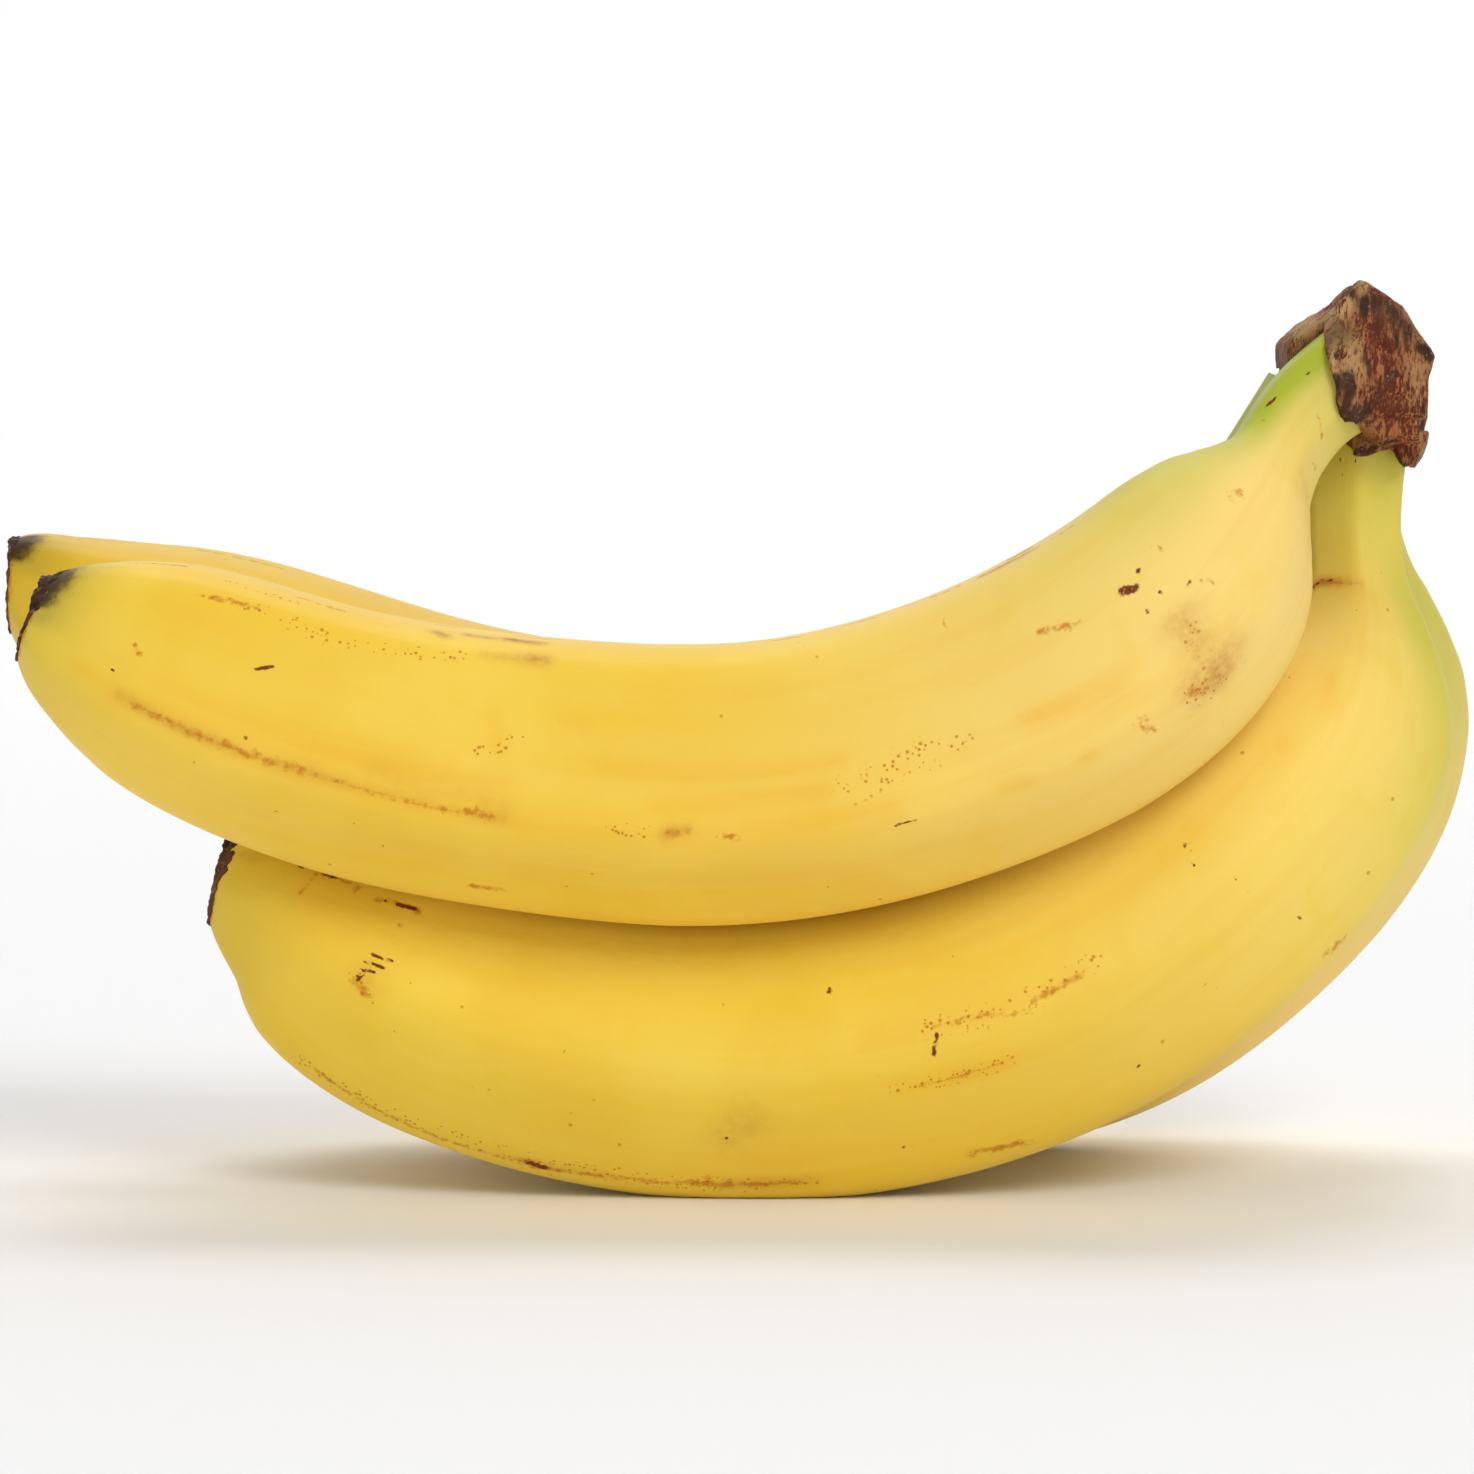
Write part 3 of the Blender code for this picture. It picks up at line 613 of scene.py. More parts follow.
def makePeelMaterial(name, fruit):
    material, tree, shader = newMaterial(name)
    look = peelLook

    def reach(value, key, strength=1.0):
        near, far = look[key]
        return remap(tree, value, near * mm, far * mm, 0.0, strength)

    place = put(tree, "ShaderNodeAttribute", attribute_name="peelPlace").outputs["Vector"]
    left = field(tree, "peelLeft")
    where = put(tree, "ShaderNodeTexCoord").outputs["Object"]
    along = put(tree, "ShaderNodeSeparateXYZ", {0: place}).outputs[2]
    rolled = vec(tree, "MULTIPLY", place, (peel["roundRadius"] * mm, peel["roundRadius"] * mm, 1.0))

    cloud = noise(tree, where, look["cloudScale"], 3.0, 0.55)
    patch = noise(tree, where, look["patchScale"], 4.0, 0.6, 0.4)
    fine = noise(tree, where, look["fineScale"], 4.0, 0.65)
    finest = noise(tree, where, look["finestScale"], 3.0, 0.6)
    streak = useGroup(tree, grain, {"Vector": rolled, "Stretch": (1.0, 1.0, 0.07), "Scale": look["streakScale"],
                                    "Contrast": 0.26})[0]
    wide = useGroup(tree, grain, {"Vector": rolled, "Stretch": (1.0, 1.0, 0.12), "Scale": look["wideStreakScale"],
                                  "Contrast": 0.28})[0]

    colour = blend(tree, remap(tree, cloud, 0.35, 0.65), look["yellow"], look["deepYellow"])
    colour = blend(tree, times(tree, wide, look["wideStreak"]), colour, look["paleYellowSheen"])
    # painted highlight: the peel turns paler and less saturated towards the neck, as if light caught the shoulder
    shoulderSheen = reach(left, "shoulderSheenReach", fruit.get("shoulderSheen", look["shoulderSheen"]))
    colour = blend(tree, shoulderSheen, colour, look["paleYellowSheen"])
    colour = blend(tree, times(tree, remap(tree, patch, 0.52, 0.70), look["patch"]), colour, look["deepYellow"])
    colour = blend(tree, times(tree, remap(tree, streak, 0.50, 0.95), look["streak"]), colour, look["orange"])

    # green at the neck, on one side of the shoulder and at the blossom end
    greenest = math.radians(fruit["greenSide"])
    sideways = vec(tree, "DOT_PRODUCT", vec(tree, "MULTIPLY", place, (1.0, 1.0, 0.0)),
                   (math.cos(greenest), math.sin(greenest), 0.0))
    neckTint = reach(left, "neckGreenReach", fruit["neckGreen"])
    sideTint = times(tree, reach(left, "sideGreenReach"), remap(tree, sideways, fruit["greenFrom"], 1.0))
    start = fruit["greenStart"]
    sideTint = times(tree, sideTint, remap(tree, left, start * mm, (start + look["sideGreenFade"]) * mm))
    green = plus(tree, neckTint, sideTint)
    green = times(tree, green, plus(tree, 0.40, times(tree, cloud, 1.1)))
    colour = blend(tree, times(tree, green, fruit["green"], clamp=True), colour, look["green"])
    colour = blend(tree, reach(along, "tipGreenReach", look["tipGreen"]), colour, look["green"])

    # marks, from faint to strong
    orange = times(tree, field(tree, "orangeMark"), plus(tree, 0.09, times(tree, streak, 0.34)))
    colour = blend(tree, orange, colour, look["orange"])
    halo = times(tree, field(tree, "haloMark"), plus(tree, 0.25, times(tree, patch, 0.6)))
    colour = blend(tree, halo, colour, look["halo"])
    mottled = remap(tree, plus(tree, patch, times(tree, fine, 0.5)), 0.55, 1.0, 0.25, 1.0)
    colour = blend(tree, times(tree, field(tree, "smudgeMark"), mottled), colour, look["smudge"])
    freckles = useGroup(tree, specks, {"Vector": where, "Scale": look["freckleScale"], "Share": 0.16,
                                       "Size": 0.085})[0]
    colour = blend(tree, times(tree, freckles, look["freckle"]), colour, look["brown"])
    brownEdge = useGroup(tree, raggedMark, {"Field": field(tree, "brownMark"), "Noise": fine, "Ragged": 4.5,
                                            "Fill": 0.40, "Soft": 0.75})[0]
    brownMask = times(tree, brownEdge, look["brownMark"])
    colour = blend(tree, brownMask, colour, look["brown"])
    pricks = useGroup(tree, specks, {"Vector": where, "Scale": look["prickScale"], "Share": 0.8, "Size": 0.31})[0]
    dotted = times(tree, remap(tree, field(tree, "dotsMark"), 1.15, 0.75), pricks)
    colour = blend(tree, times(tree, dotted, look["dots"]), colour, look["brown"])
    darkMask = useGroup(tree, raggedMark, {"Field": field(tree, "darkMark"), "Noise": finest, "Ragged": 1.6,
                                           "Soft": 0.3})[0]
    colour = blend(tree, darkMask, colour, look["dark"])
    rimEdge = plus(tree, along, swing(tree, finest, look["rimRagged"] * mm))
    colour = blend(tree, reach(rimEdge, "rimReach", look["rim"]), colour, look["brown"])
    sooty = plus(tree, field(tree, "sootMark"), swing(tree, fine, 0.7))
    colour = blend(tree, remap(tree, sooty, 0.12, 1.0), colour, look["soot"])
    # the fruit's tone multiplies its colour; the inner back fruit's darker tone is painted shade for the fruit lying
    # behind the others
    colour = blend(tree, 1.0, colour, fruit.get("tone", (1.0, 1.0, 1.0)), "MULTIPLY")
    # the flat end inside the scar's rim is dried flesh
    driedEnd = blend(tree, remap(tree, patch, 0.35, 0.65), look["driedEnd"], look["driedEndPale"])
    colour = blend(tree, reach(along, "endReach"), colour, driedEnd)
    plug(tree, shader.inputs["Base Color"], colour)

    rough = plus(tree, look["roughness"], swing(tree, patch, 0.14))
    rough = plus(tree, rough, times(tree, calc(tree, "MAXIMUM", darkMask, brownMask), 0.22))
    plug(tree, shader.inputs["Roughness"], rough)
    height = plus(tree, times(tree, fine, 0.6), times(tree, streak, 0.5))
    height = minus(tree, height, times(tree, darkMask, 0.8))
    bump = put(tree, "ShaderNodeBump", {"Height": height, "Distance": look["poreDepth"] * mm, "Strength": 0.8})
    plug(tree, shader.inputs["Normal"], bump.outputs[0])
    shader.inputs["Specular IOR Level"].default_value = look["specular"]
    shader.inputs["IOR"].default_value = look["ior"]
    return material


peelSweep = buildPeelSweep()
bananas = {}
for number, (name, fruit) in enumerate(fruits.items()):
    spine = makeSpine(name + "Spine", fruit["route"])
    addTree(spine, peelSweep, {
        "Rings": fruit["rings"], "Points round": fruit["round"], "Full half": fruit["half"] * mm,
        "Neck half": peel["neckHalf"] * mm, "Neck length": fruit["neck"] * mm, "Neck flare": fruit["flare"],
        "Ridge turn": fruit["turn"], "Ridge sharpness": peel["sharpness"], "Side share": peel["sideShare"],
        "Tip slant": fruit["slant"], "Tip taper": fruit["taper"],
        "Tip lip": fruit.get("lip", peel["tipLip"]) * mm, "Lowest": 0.0 if fruit["cutAtFloor"] else -1.0,
        "Uneven size": peel["unevenSize"], "Uneven depth": peel["unevenDepth"] * mm, "Seed": 3.0 + number,
        "Peel": makePeelMaterial(name + "Peel", fruit)})
    banana = bakeModifiers(spine, name + "Banana")
    paintMarks(banana.data, fruit)
    bananas[name] = banana
    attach(banana, "root")
    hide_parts("banana_" + fruit["node"])
print("four bananas grown")


# Crown and blossom ends: the imported crown and new cups over the fruits' ends, with a dried, fibrous surface

def buildDriedSurface():
    number = "NodeSocketFloat"
    tree, given, result = newTree(
        "driedSurface", "GeometryNodeTree",
        [("Geometry", "NodeSocketGeometry", None), ("Fibre stretch", "NodeSocketVector", (1.0, 1.0, 0.15)),
         ("Fibre size", number, 900.0), ("Fibre depth", number, 0.0003), ("Lump size", number, 250.0),
         ("Lump depth", number, 0.0005), ("Seed", number, 1.0), ("Finish", "NodeSocketMaterial", None)],
        [("Geometry", "NodeSocketGeometry")])
    position = put(tree, "GeometryNodeInputPosition").outputs[0]
    normal = put(tree, "GeometryNodeInputNormal").outputs[0]
    drawn = vec(tree, "MULTIPLY", position, given["Fibre stretch"])
    fibre, lump = [
        put(tree, "ShaderNodeTexNoise", {"Vector": vector, "W": given["Seed"], "Scale": given[size], "Detail": 3.0},
            noise_dimensions="4D").outputs[0]
        for vector, size in ((drawn, "Fibre size"), (position, "Lump size"))]
    ridged = minus(tree, 0.55, times(tree, calc(tree, "ABSOLUTE", minus(tree, fibre, 0.5)), 5.0))
    rise = plus(tree, times(tree, ridged, given["Fibre depth"]), swing(tree, lump, given["Lump depth"]))
    moved = put(tree, "GeometryNodeSetPosition",
                {"Geometry": given["Geometry"], "Offset": scaled(tree, normal, rise)}).outputs[0]
    relief = put(tree, "GeometryNodeStoreNamedAttribute", {"Geometry": moved, "Name": "relief", "Value": ridged},
                 data_type="FLOAT", domain="POINT").outputs[0]
    smooth = put(tree, "GeometryNodeSetShadeSmooth", {"Geometry": relief}).outputs[0]
    whole = put(tree, "GeometryNodeRealizeInstances", {"Geometry": smooth}).outputs[0]
    finished = put(tree, "GeometryNodeSetMaterial", {"Geometry": whole, "Material": given["Finish"]}).outputs[0]
    plug(tree, result["Geometry"], finished)
    return tree


def smoothStep(low, high, value):
    share = min(max((value - low) / (high - low), 0.0), 1.0)
    return share * share * (3 - 2 * share)


# rind outlines are (x, z) in mm; tones are (line of (x, z), width, strength) on the side facing the front
crown = {
    "grainOfMesh": 0.32, "fibreSize": 620.0, "fibreDepth": 0.16, "lumpSize": 240.0, "lumpDepth": 0.55,
    "frontRind": [(79.7, 119.3), (82.3, 117.9), (84.4, 116.1), (86.9, 112.6), (89.4, 109.6), (88.6, 107.5),
                  (88.5, 103.9), (88.0, 100.6), (89.1, 98.6), (88.7, 97.6), (87.3, 95.3), (86.4, 94.9),
                  (85.3, 96.6), (84.7, 98.5), (83.8, 98.4), (83.0, 97.6), (81.4, 96.6), (79.6, 96.4),
                  (80.2, 97.6), (80.9, 99.0), (80.6, 101.1), (79.0, 101.3), (77.6, 100.9), (76.5, 102.6),
                  (76.3, 105.8), (76.0, 110.2), (77.2, 114.2), (76.4, 115.7)],
    "collar": [(71.1, 110.9), (73.3, 113.2), (76.2, 114.9), (77.9, 115.7), (81.0, 119.0), (80.6, 115.4), (78.8, 113.3),
               (76.9, 112.1), (74.9, 110.8), (72.8, 110.0), (71.6, 109.0), (71.2, 107.4)],
    "collarDepth": (-4.3, 14.0),
    # the rind's depth in y, its bulge, where it turns back, and where it is thicker
    "rindDepth": -13.1, "bulge": 3.8, "bulgeAt": (77.0, 104.5), "bulgeReach": (3.8, 5.5), "turnBack": 7.5,
    "turnBackFrom": (97.6, 102.6), "rindThickness": 1.4, "rindExtra": 0.9, "thickFromX": (78.0, 81.0),
    "thickFromZ": (101.0, 104.0),
    # tones start in front of this y and left of this x, and reach full strength over the second number
    "frontTones": (-1.0, 5.0), "collarTones": (77.5, 3.0),
    "tones": {
        "red": [([(82.4, 116.0), (82.0, 112.0), (82.7, 108.4), (83.4, 104.0), (84.6, 100.0)], 2.3, 1.0),
                ([(85.4, 98.5), (86.2, 96.5)], 1.7, 0.9), ([(79.3, 113.6), (81.5, 115.4)], 1.5, 0.8)],
        "dark": [([(77.0, 106.2), (77.5, 103.0), (79.6, 102.4)], 2.0, 1.0), ([(79.0, 117.4), (80.6, 115.6)], 1.3, 0.8),
                 ([(83.2, 107.6), (82.7, 105.4)], 0.8, 0.8), ([(89.1, 109.4), (87.6, 110.6)], 0.9, 0.9),
                 ([(85.0, 96.6), (86.2, 95.2), (87.6, 95.8)], 0.6, 0.8), ([(79.8, 96.8), (82.4, 97.4)], 0.8, 0.9),
                 ([(86.0, 112.8), (83.6, 116.0)], 1.0, 0.6), ([(81.6, 117.0), (85.0, 113.6)], 1.7, 0.45),
                 ([(88.0, 103.0), (88.0, 100.6), (89.1, 98.6), (88.7, 97.6), (87.3, 95.3), (86.4, 94.9), (85.3, 96.6),
                   (84.7, 98.5), (83.8, 98.4), (83.0, 97.6), (81.4, 96.6), (79.6, 96.4)], 0.35, 0.75),
                 ([(80.6, 101.1), (79.0, 101.3), (77.6, 100.9), (76.5, 102.6), (76.3, 105.8)], 0.45, 0.9)],
        "pale": [([(73.0, 112.6), (77.4, 115.4), (80.4, 118.4)], 1.2, 1.2), ([(78.3, 112.2), (78.5, 108.0)], 1.7, 0.8),
                 ([(86.8, 108.0), (87.0, 101.6)], 1.5, 0.4), ([(76.2, 106.8), (75.9, 110.0), (76.9, 113.4)], 0.35, 1.5),
                 ([(87.8, 99.0)], 1.0, 0.6)],
        "grey": [([(71.6, 108.6), (73.8, 110.8), (77.6, 112.8)], 1.4, 1.0), ([(80.8, 98.2)], 1.6, 0.8),
                 ([(80.6, 116.6), (83.6, 115.6), (86.4, 112.0)], 1.5, 0.75)]},
}


def rindFront(x, z):
    # depth of the torn rind: bulged over the inner neck, turned back over the outer one
    (middleX, middleZ), (reachX, reachZ) = crown["bulgeAt"], crown["bulgeReach"]
    bulge = crown["bulge"] * math.exp(-((x - middleX) / reachX) ** 2 - ((z - middleZ) / reachZ) ** 2)
    return crown["rindDepth"] - bulge + crown["turnBack"] * (1 - smoothStep(*crown["turnBackFrom"], z))


def rindBack(x, z):
    thicker = smoothStep(*crown["thickFromX"], x) * smoothStep(*crown["thickFromZ"], z)
    return rindFront(x, z) + crown["rindThickness"] + crown["rindExtra"] * thicker


def insideOutline(x, z, outline):
    inside = False
    for (ax, az), (bx, bz) in zip(outline, outline[1:] + outline[:1]):
        if (az > z) != (bz > z) and x < (bx - ax) * (z - az) / (bz - az) + ax:
            inside = not inside
    return inside


def addSheet(work, outline, frontAt, backAt, spacing=0.3):
    # a closed sheet over an (x, z) outline, between two depths
    columns = np.arange(min(p[0] for p in outline), max(p[0] for p in outline), spacing)
    rows = np.arange(min(p[1] for p in outline), max(p[1] for p in outline), spacing)
    kept = {(i, j) for i in range(len(columns)) for j in range(len(rows))
            if insideOutline(columns[i] + spacing / 2, rows[j] + spacing / 2, outline)}
    corners = {}

    def corner(i, j, depthAt):
        key = (i, j, depthAt is backAt)
        if key not in corners:
            x, z = columns[0] + i * spacing, rows[0] + j * spacing
            corners[key] = work.verts.new(Vector((x, depthAt(x, z), z)) * mm)
        return corners[key]

    for i, j in sorted(kept):
        square = [(i, j), (i + 1, j), (i + 1, j + 1), (i, j + 1)]
        work.faces.new([corner(a, b, frontAt) for a, b in square])
        work.faces.new([corner(a, b, backAt) for a, b in reversed(square)])
        beside = [(i, j - 1), (i + 1, j), (i, j + 1), (i - 1, j)]
        for first, last, cell in zip(square, square[1:] + square[:1], beside):
            if cell not in kept:
                work.faces.new([corner(*last, frontAt), corner(*first, frontAt),
                                corner(*first, backAt), corner(*last, backAt)])


def makeCrownShape():
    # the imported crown, with the torn rind over its front and the collar on its left
    work = bmesh.new()
    work.from_mesh(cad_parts["crown"].data)
    bmesh.ops.remove_doubles(work, verts=work.verts, dist=0.00001)
    addSheet(work, crown["frontRind"], rindFront, rindBack)
    near, far = crown["collarDepth"]
    addSheet(work, crown["collar"], lambda x, z: near, lambda x, z: far)
    mesh = bpy.data.meshes.new("crownShape")
    work.to_mesh(mesh)
    work.free()
    return addObject("crownShape", mesh)


def paintTones(mesh, tones):
    # on the side facing the front and on the collar only
    points = pointsOf(mesh)
    (frontFrom, frontFade), (collarFrom, collarFade) = crown["frontTones"], crown["collarTones"]
    facing = np.clip((frontFrom - points[:, 1]) / frontFade, 0, 1)
    collar = np.clip((collarFrom - points[:, 0]) / collarFade, 0, 1)
    for kind, lines in tones.items():
        tone = np.zeros(len(points))
        for line, width, strength in lines:
            ends = list(zip(line[:-1], line[1:])) or [(line[0], line[0])]
            for first, last in ends:
                run = np.subtract(last, first)
                offset = points[:, [0, 2]] - first
                share = np.clip(offset @ run / max(run @ run, 1e-9), 0, 1)
                gap = np.linalg.norm(offset - share[:, None] * run, axis=1)
                tone = np.maximum(tone, strength * np.exp(-(gap / width) ** 2))
        storeValues(mesh, kind + "Tone", tone * np.maximum(facing, collar))


crownLook = {
    "tan": (0.37, 0.165, 0.058), "red": (0.120, 0.024, 0.010), "rust": (0.34, 0.070, 0.020),
    "dark": (0.042, 0.016, 0.009), "pale": (0.50, 0.31, 0.135), "grey": (0.150, 0.080, 0.036),
    "ash": (0.26, 0.20, 0.165),
    # noise scales; fibres are drawn out upwards by one over the stretch
    "stretch": 0.30, "threadScale": 3000.0, "strandScale": 850.0, "patchScale": 210.0, "rustScale": 1500.0,
    "freshScale": 2400.0, "fleckScale": 1700.0,
    "specular": 0.16, "fibreDepth": 0.3,
}


def finishDried(tree, shader, colour, height, look):
    plug(tree, shader.inputs["Base Color"], colour)
    shader.inputs["Specular IOR Level"].default_value = look["specular"]
    bump = put(tree, "ShaderNodeBump", {"Height": height, "Distance": look["fibreDepth"] * mm, "Strength": 0.9})
    plug(tree, shader.inputs["Normal"], bump.outputs[0])


def makeCrownMaterial():
    material, tree, shader = newMaterial("crownFibre")
    look = crownLook
    where = put(tree, "ShaderNodeTexCoord").outputs["Object"]
    relief, red, dark, pale, grey = [
        field(tree, label) for label in ("relief", "redTone", "darkTone", "paleTone", "greyTone")]
    drawn = vec(tree, "MULTIPLY", where, (1.0, 1.0, look["stretch"]))
    thread = noise(tree, drawn, look["threadScale"], 3.0, 0.65)
    strand = noise(tree, drawn, look["strandScale"], 4.0, 0.62)
    patch = noise(tree, where, look["patchScale"], 4.0, 0.6)

    # red-brown threads on tan, more of them down the middle
    crowding = minus(tree, times(tree, red, 0.055), times(tree, pale, 0.06))
    crowding = plus(tree, crowding, swing(tree, patch, 0.30))
    mixed = plus(tree, times(tree, thread, 0.65), times(tree, strand, 0.35))
    threads = remap(tree, plus(tree, mixed, crowding), 0.440, 0.555)
    colour = blend(tree, times(tree, pale, 0.8, clamp=True), look["tan"], look["pale"])
    rusty = remap(tree, noise(tree, drawn, look["rustScale"], 2.0, 0.5), 0.40, 0.60, 0.25, 0.95)
    colour = blend(tree, times(tree, red, rusty), colour, look["rust"])
    colour = blend(tree, threads, colour, look["red"])
    fresh = noise(tree, vec(tree, "ADD", drawn, (0.3, 0.7, 0.2)), look["freshScale"], 3.0, 0.65)
    fresh = remap(tree, fresh, 0.56, 0.66, 0.0, 0.55)
    colour = blend(tree, times(tree, fresh, minus(tree, 1.0, times(tree, red, 0.6))), colour, look["tan"])
    colour = blend(tree, times(tree, grey, 0.75), colour, look["grey"])
    darkEdge = remap(tree, plus(tree, dark, swing(tree, strand, 2.2)), 0.25, 0.85)
    colour = blend(tree, times(tree, darkEdge, 0.9), colour, look["dark"])
    flecks = useGroup(tree, specks, {"Vector": where, "Scale": look["fleckScale"], "Share": 0.45, "Size": 0.26})[0]
    colour = blend(tree, times(tree, times(tree, flecks, dark), 0.7), colour, look["ash"])
    # painted shade: darker in the low hollows between the raised fibres
    colour = blend(tree, remap(tree, relief, 0.15, -0.45, 0.0, 0.75), colour, look["dark"])
    plug(tree, shader.inputs["Roughness"], plus(tree, 0.50, times(tree, patch, 0.3)))
    finishDried(tree, shader, colour, plus(tree, times(tree, strand, 1.2), times(tree, thread, 0.7)), look)
    return material


# how far each scar stands out, wraps back on the peel and is burnt comes from the fruits' tables, by degrees round
scar = {"grainOfMesh": 0.14, "fibreSize": 520.0, "fibreDepth": 0.14, "lumpSize": 620.0, "lumpDepth": 0.55,
        "lift": 0.16, "tuck": 0.5, "hollow": 1.1, "raggedProud": 0.14, "raggedWrap": 0.26, "leastWrap": 0.05,
        # waves round the rim as (count, start, size), and the cup as (share of the radius, depth inwards)
        "ragged": [(7, 1.0, 1.0), (17, 2.3, 0.8), (31, 0.6, 0.7)],
        "cup": [(0.25, 1.0), (0.55, 0.8), (0.80, 0.3), (0.93, -0.5), (1.0, -1.0)], "bottom": [(0.55, 0.9), (0.25, 1.0)],
        "peelRings": 40}


def aroundTable(table, degrees):
    places = [p for p, _ in table] + [table[0][0] + 360]
    return np.interp(degrees % 360, places, [v for _, v in table] + [table[0][1]])


endFrames = {}


def paintBurnt(mesh, name, fruit):
    centre, back, side = endFrames[name]
    offset = pointsOf(mesh) - centre
    degrees = np.degrees(np.arctan2(offset @ side, offset @ back))
    storeValues(mesh, "burnt", aroundTable(fruit["scar"]["burnt"], degrees))


def makeScarShape(name, fruit):
    # a shallow cup over the end of the peel, with a ragged rim
    count = fruit["round"]
    rings = pointsOf(bananas[name].data).reshape(-1, count, 3)
    middle = rings.mean(axis=1)
    inwards = middle[6] - middle[0]
    inwards /= np.linalg.norm(inwards)
    degrees = np.arange(count) * 360.0 / count
    turn = np.radians(degrees)
    ragged = sum(size * np.sin(turn * waves + start) for waves, start, size in scar["ragged"])
    proud = aroundTable(fruit["scar"]["proud"], degrees) * (1 + scar["raggedProud"] * ragged)
    wrap = aroundTable(fruit["scar"]["wrap"], degrees) * (1 + scar["raggedWrap"] * ragged)
    wrap = np.maximum(wrap, scar["leastWrap"])
    near = scar["peelRings"]
    run = np.concatenate([[0], np.cumsum(np.linalg.norm(np.diff(middle[:near], axis=0), axis=1))])

    def skin(distance, offset):
        # the peel's points at a distance from the end, moved out from its middle
        at = np.interp(distance, run, np.arange(near))
        low = np.minimum(at.astype(int), near - 2)
        share = (at - low)[:, None]
        columns = np.arange(count)
        place = rings[low, columns] * (1 - share) + rings[low + 1, columns] * share
        heart = middle[low] * (1 - share) + middle[low + 1] * share
        out = place - heart
        return place + out / np.linalg.norm(out, axis=1)[:, None] * offset

    rim = skin(np.zeros(count), 0.0)
    out = rim - middle[0]
    endFrames[name] = (middle[0], out[0], out[count // 4])
    rows = []
    for share, depth in scar["cup"]:
        sunk = np.where(depth > 0, depth * scar["hollow"], depth * proud)
        rows.append(middle[0] + out * share + inwards * sunk[:, None])
    rows.append(skin(np.zeros(count), scar["lift"] * 1.6) - inwards * (proud * 0.6)[:, None])
    for share in (0.0, 0.35, 0.7, 1.0):
        rows.append(skin(wrap * share, scar["lift"] * (1.6 - 1.2 * share)))
    rows.append(skin(wrap + 0.1, -scar["tuck"]))
    for share, thickness in scar["bottom"]:
        rows.append(middle[0] + inwards * (scar["hollow"] + thickness) + out * share)
    vertices = [tuple(p * mm) for row in rows for p in row]
    faces = []
    for i in range(len(rows) - 1):
        for j in range(count):
            k = (j + 1) % count
            faces.append((i * count + j, i * count + k, (i + 1) * count + k, (i + 1) * count + j))
    faces.append(tuple(range(count))[::-1])
    faces.append(tuple((len(rows) - 1) * count + j for j in range(count)))
    mesh = bpy.data.meshes.new(name + "ScarShape")
    mesh.from_pydata(vertices, [], faces)
    work = bmesh.new()
    work.from_mesh(mesh)
    bmesh.ops.recalc_face_normals(work, faces=work.faces)
    work.to_mesh(mesh)
    work.free()
    return addObject(name + "ScarShape", mesh)


scarLook = {
    "brown": (0.115, 0.050, 0.020), "tan": (0.22, 0.105, 0.042), "charred": (0.050, 0.022, 0.011),
    "fibre": (0.27, 0.125, 0.065), "hollowShade": (0.015, 0.009, 0.008),
    "fineScale": 1100.0, "patchScale": 330.0, "roughness": 0.6, "specular": 0.16, "fibreDepth": 0.3,
}


def makeScarMaterial():
    material, tree, shader = newMaterial("blossomScar")
    look = scarLook
    where = put(tree, "ShaderNodeTexCoord").outputs["Object"]
    fine = noise(tree, where, look["fineScale"], 4.0, 0.65)
    patch = noise(tree, where, look["patchScale"], 3.0, 0.6)
    colour = blend(tree, remap(tree, patch, 0.42, 0.60), look["brown"], look["tan"])
    charred = remap(tree, plus(tree, field(tree, "burnt"), swing(tree, patch, 2.4)), 0.35, 0.85)
    colour = blend(tree, charred, colour, look["charred"])
    colour = blend(tree, remap(tree, fine, 0.54, 0.66, 0.0, 0.75), colour, look["fibre"])
    # painted shade: near black in the low hollows between the raised fibres
    colour = blend(tree, remap(tree, field(tree, "relief"), 0.2, -0.5, 0.0, 0.8), colour, look["hollowShade"])
    shader.inputs["Roughness"].default_value = look["roughness"]
    finishDried(tree, shader, colour, fine, look)
    return material


driedSurface = buildDriedSurface()


def dryPiece(shape, name, node, look, stretch, material, seed):
    remesh = shape.modifiers.new("fine skin", "REMESH")
    remesh.mode = "VOXEL"
    remesh.voxel_size = look["grainOfMesh"] * mm
    soften = shape.modifiers.new("soften", "SMOOTH")
    soften.factor = 0.5
    soften.iterations = 3
    addTree(shape, driedSurface, {
        "Fibre stretch": stretch, "Fibre size": look["fibreSize"], "Fibre depth": look["fibreDepth"] * mm,
        "Lump size": look["lumpSize"], "Lump depth": look["lumpDepth"] * mm, "Seed": seed, "Finish": material})
    piece = bakeModifiers(shape, name)
    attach(piece, "root")
    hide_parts(node)
    return piece


crownWood = dryPiece(makeCrownShape(), "crownWood", "crown", crown, (1.0, 1.0, 0.25), makeCrownMaterial(),
                     2.0)
paintTones(crownWood.data, crown["tones"])
scarMaterial = makeScarMaterial()
for number, (name, fruit) in enumerate(fruits.items()):
    dried = dryPiece(makeScarShape(name, fruit), name + "Scar", "scar_" + fruit["node"], scar, (1.0, 1.0, 1.0),
                     scarMaterial, 5.0 + number)
    paintBurnt(dried.data, name, fruit)
print("crown and blossom ends made")


# Stage: pale floor rising into a backdrop, soft light, camera

stage = {
    "floorColour": (0.93, 0.93, 0.935), "width": 6.0, "front": -1.6, "bend": 1.1, "bendRadius": 0.9, "height": 3.2,
    "bendSteps": 16, "below": 0.0001,
    "worldStrength": 0.44, "keyPower": 25.5, "keySize": 1.2, "keyPlace": (0.90, -1.85, 1.60),
    "fillPower": 3.4, "fillSize": 1.0, "fillPlace": (-0.3, -2.0, 0.35),
    "backPower": 28.0, "backSize": 1.6, "backPlace": (0.0, 1.05, 2.6), "backAim": (0.0, 2.0, 0.5),
    "lens": 145.8, "distance": 0.800, "elevation": 4.0, "target": (-1.29, 7.66, 58.5),
}


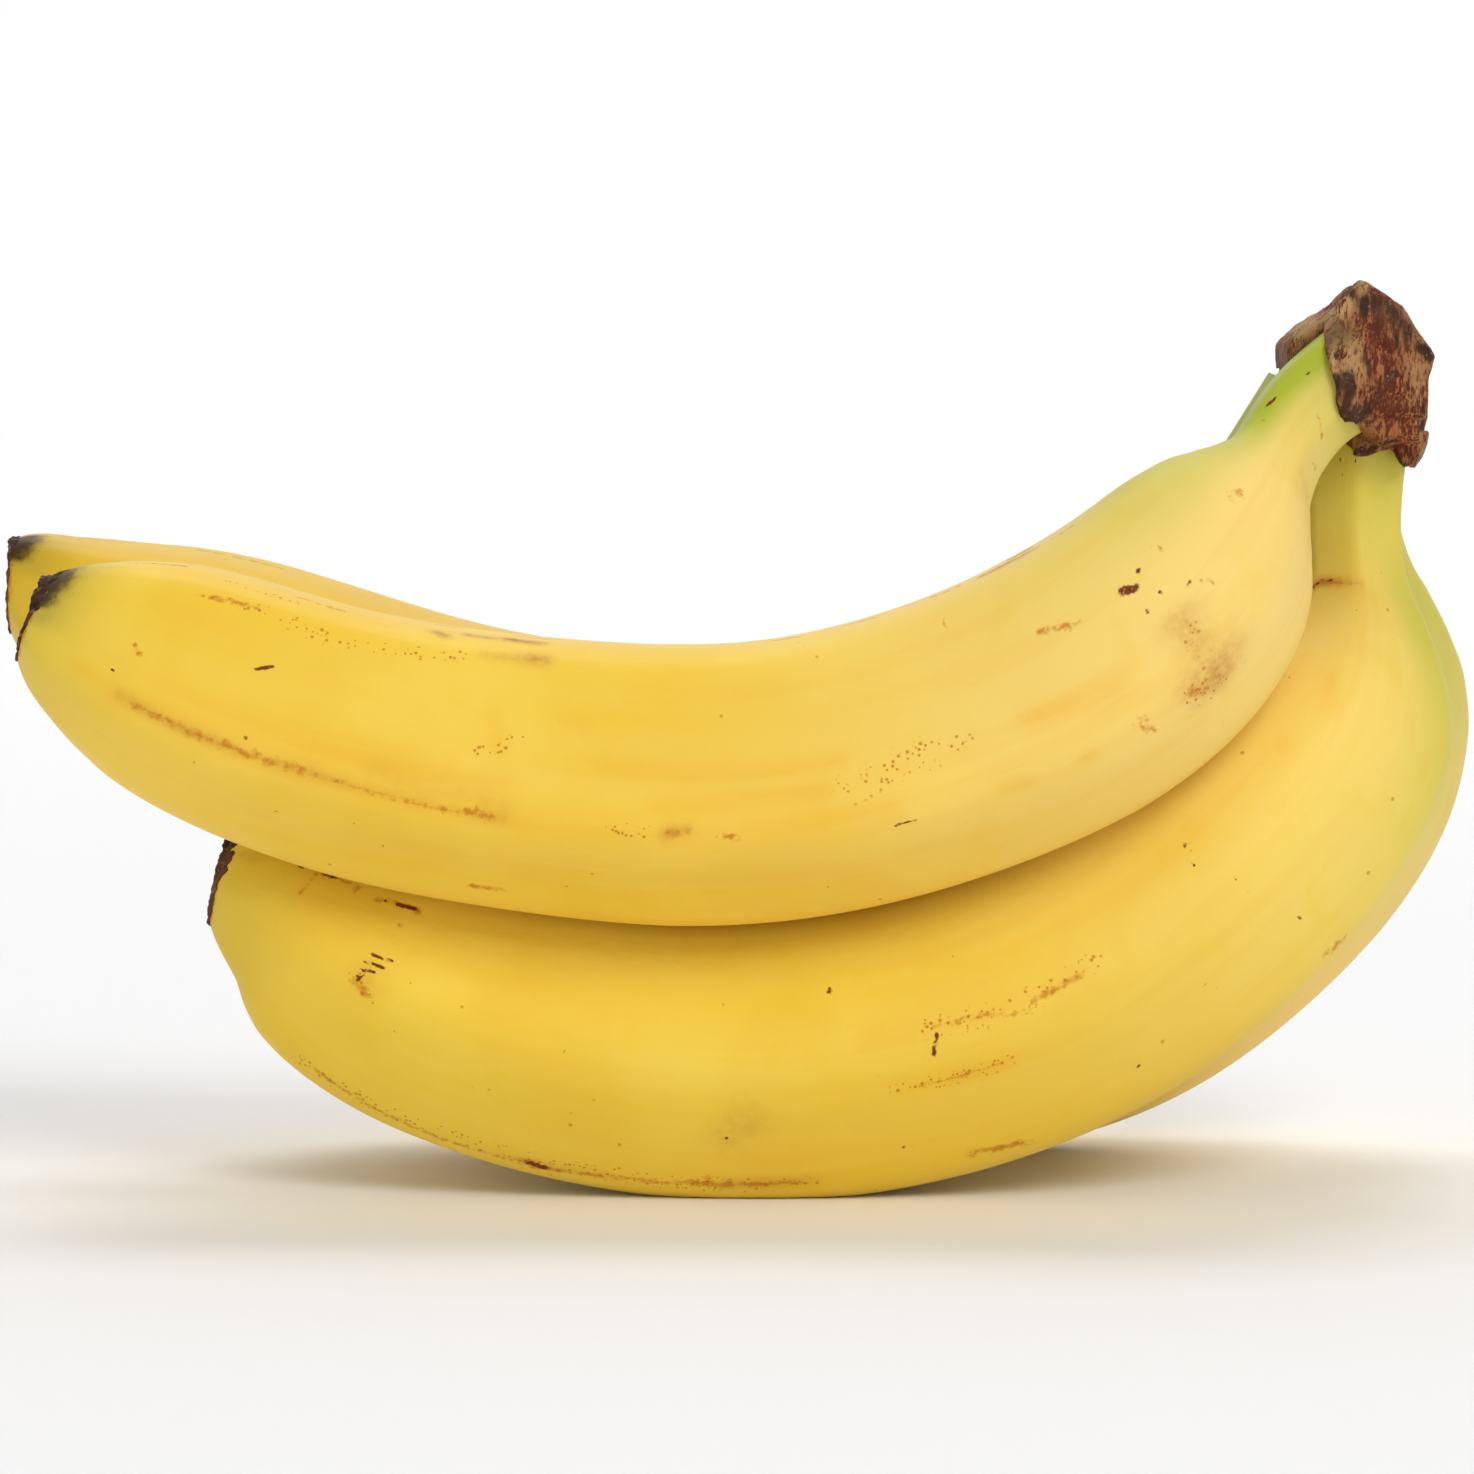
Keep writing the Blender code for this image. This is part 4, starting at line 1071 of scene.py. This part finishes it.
def makeStage():
    profile = [(stage["front"], 0.0), (stage["bend"], 0.0)]
    for i in range(1, stage["bendSteps"] + 1):
        turn = math.pi / 2 * i / stage["bendSteps"]
        profile.append((stage["bend"] + stage["bendRadius"] * math.sin(turn),
                        stage["bendRadius"] * (1 - math.cos(turn))))
    profile.append((profile[-1][0], stage["height"]))
    half = stage["width"] / 2
    points = []
    for y, z in profile:
        points += [(x, y, z - stage["below"]) for x in (-half, half)]
    faces = [(2 * i, 2 * i + 1, 2 * i + 3, 2 * i + 2) for i in range(len(profile) - 1)]
    mesh = bpy.data.meshes.new("paleFloor")
    mesh.from_pydata(points, [], faces)
    for face in mesh.polygons:
        face.use_smooth = True
    floor = addObject("paleFloor", mesh)
    material, _, shader = newMaterial("paleFloor")
    shader.inputs["Base Color"].default_value = (*stage["floorColour"], 1.0)
    shader.inputs["Roughness"].default_value = 0.9
    mesh.materials.append(material)
    floor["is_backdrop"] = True


def aimAt(thing, target):
    thing.rotation_euler = (Vector(target) - thing.location).to_track_quat("-Z", "Y").to_euler()


def makeLight(name, place, power, size, aim=(0.0, 0.0, 0.05)):
    light = bpy.data.lights.new(name, "AREA")
    light.shape = "DISK"
    light.energy = power
    light.size = size
    lamp = addObject(name, light)
    lamp.location = place
    aimAt(lamp, aim)


def makeCamera():
    tilt = math.radians(stage["elevation"])
    target = Vector(stage["target"]) * mm
    camera = addObject("camera", bpy.data.cameras.new("camera"))
    camera.data.lens = stage["lens"]
    camera.data.sensor_width = 36.0
    camera.data.clip_start = 0.05
    camera.data.clip_end = 30.0
    camera.location = target + Vector((0.0, -math.cos(tilt), math.sin(tilt))) * stage["distance"]
    aimAt(camera, target)
    scene.camera = camera


makeStage()
makeLight("key", stage["keyPlace"], stage["keyPower"], stage["keySize"])
makeLight("fill", stage["fillPlace"], stage["fillPower"], stage["fillSize"])
makeLight("backdropLight", stage["backPlace"], stage["backPower"], stage["backSize"], stage["backAim"])
makeCamera()
world = bpy.data.worlds.new("studio")
world.use_nodes = True
world.node_tree.nodes["Background"].inputs["Color"].default_value = (1.0, 1.0, 1.0, 1.0)
world.node_tree.nodes["Background"].inputs["Strength"].default_value = stage["worldStrength"]
scene.world = world
scene.view_settings.view_transform = "Standard"
print("stage set")

bpy.context.view_layer.update()
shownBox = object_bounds()
for label, box in (("cad", cadBox), ("visual", shownBox)):
    print(label, [round(v / mm, 2) for corner in box for v in corner])
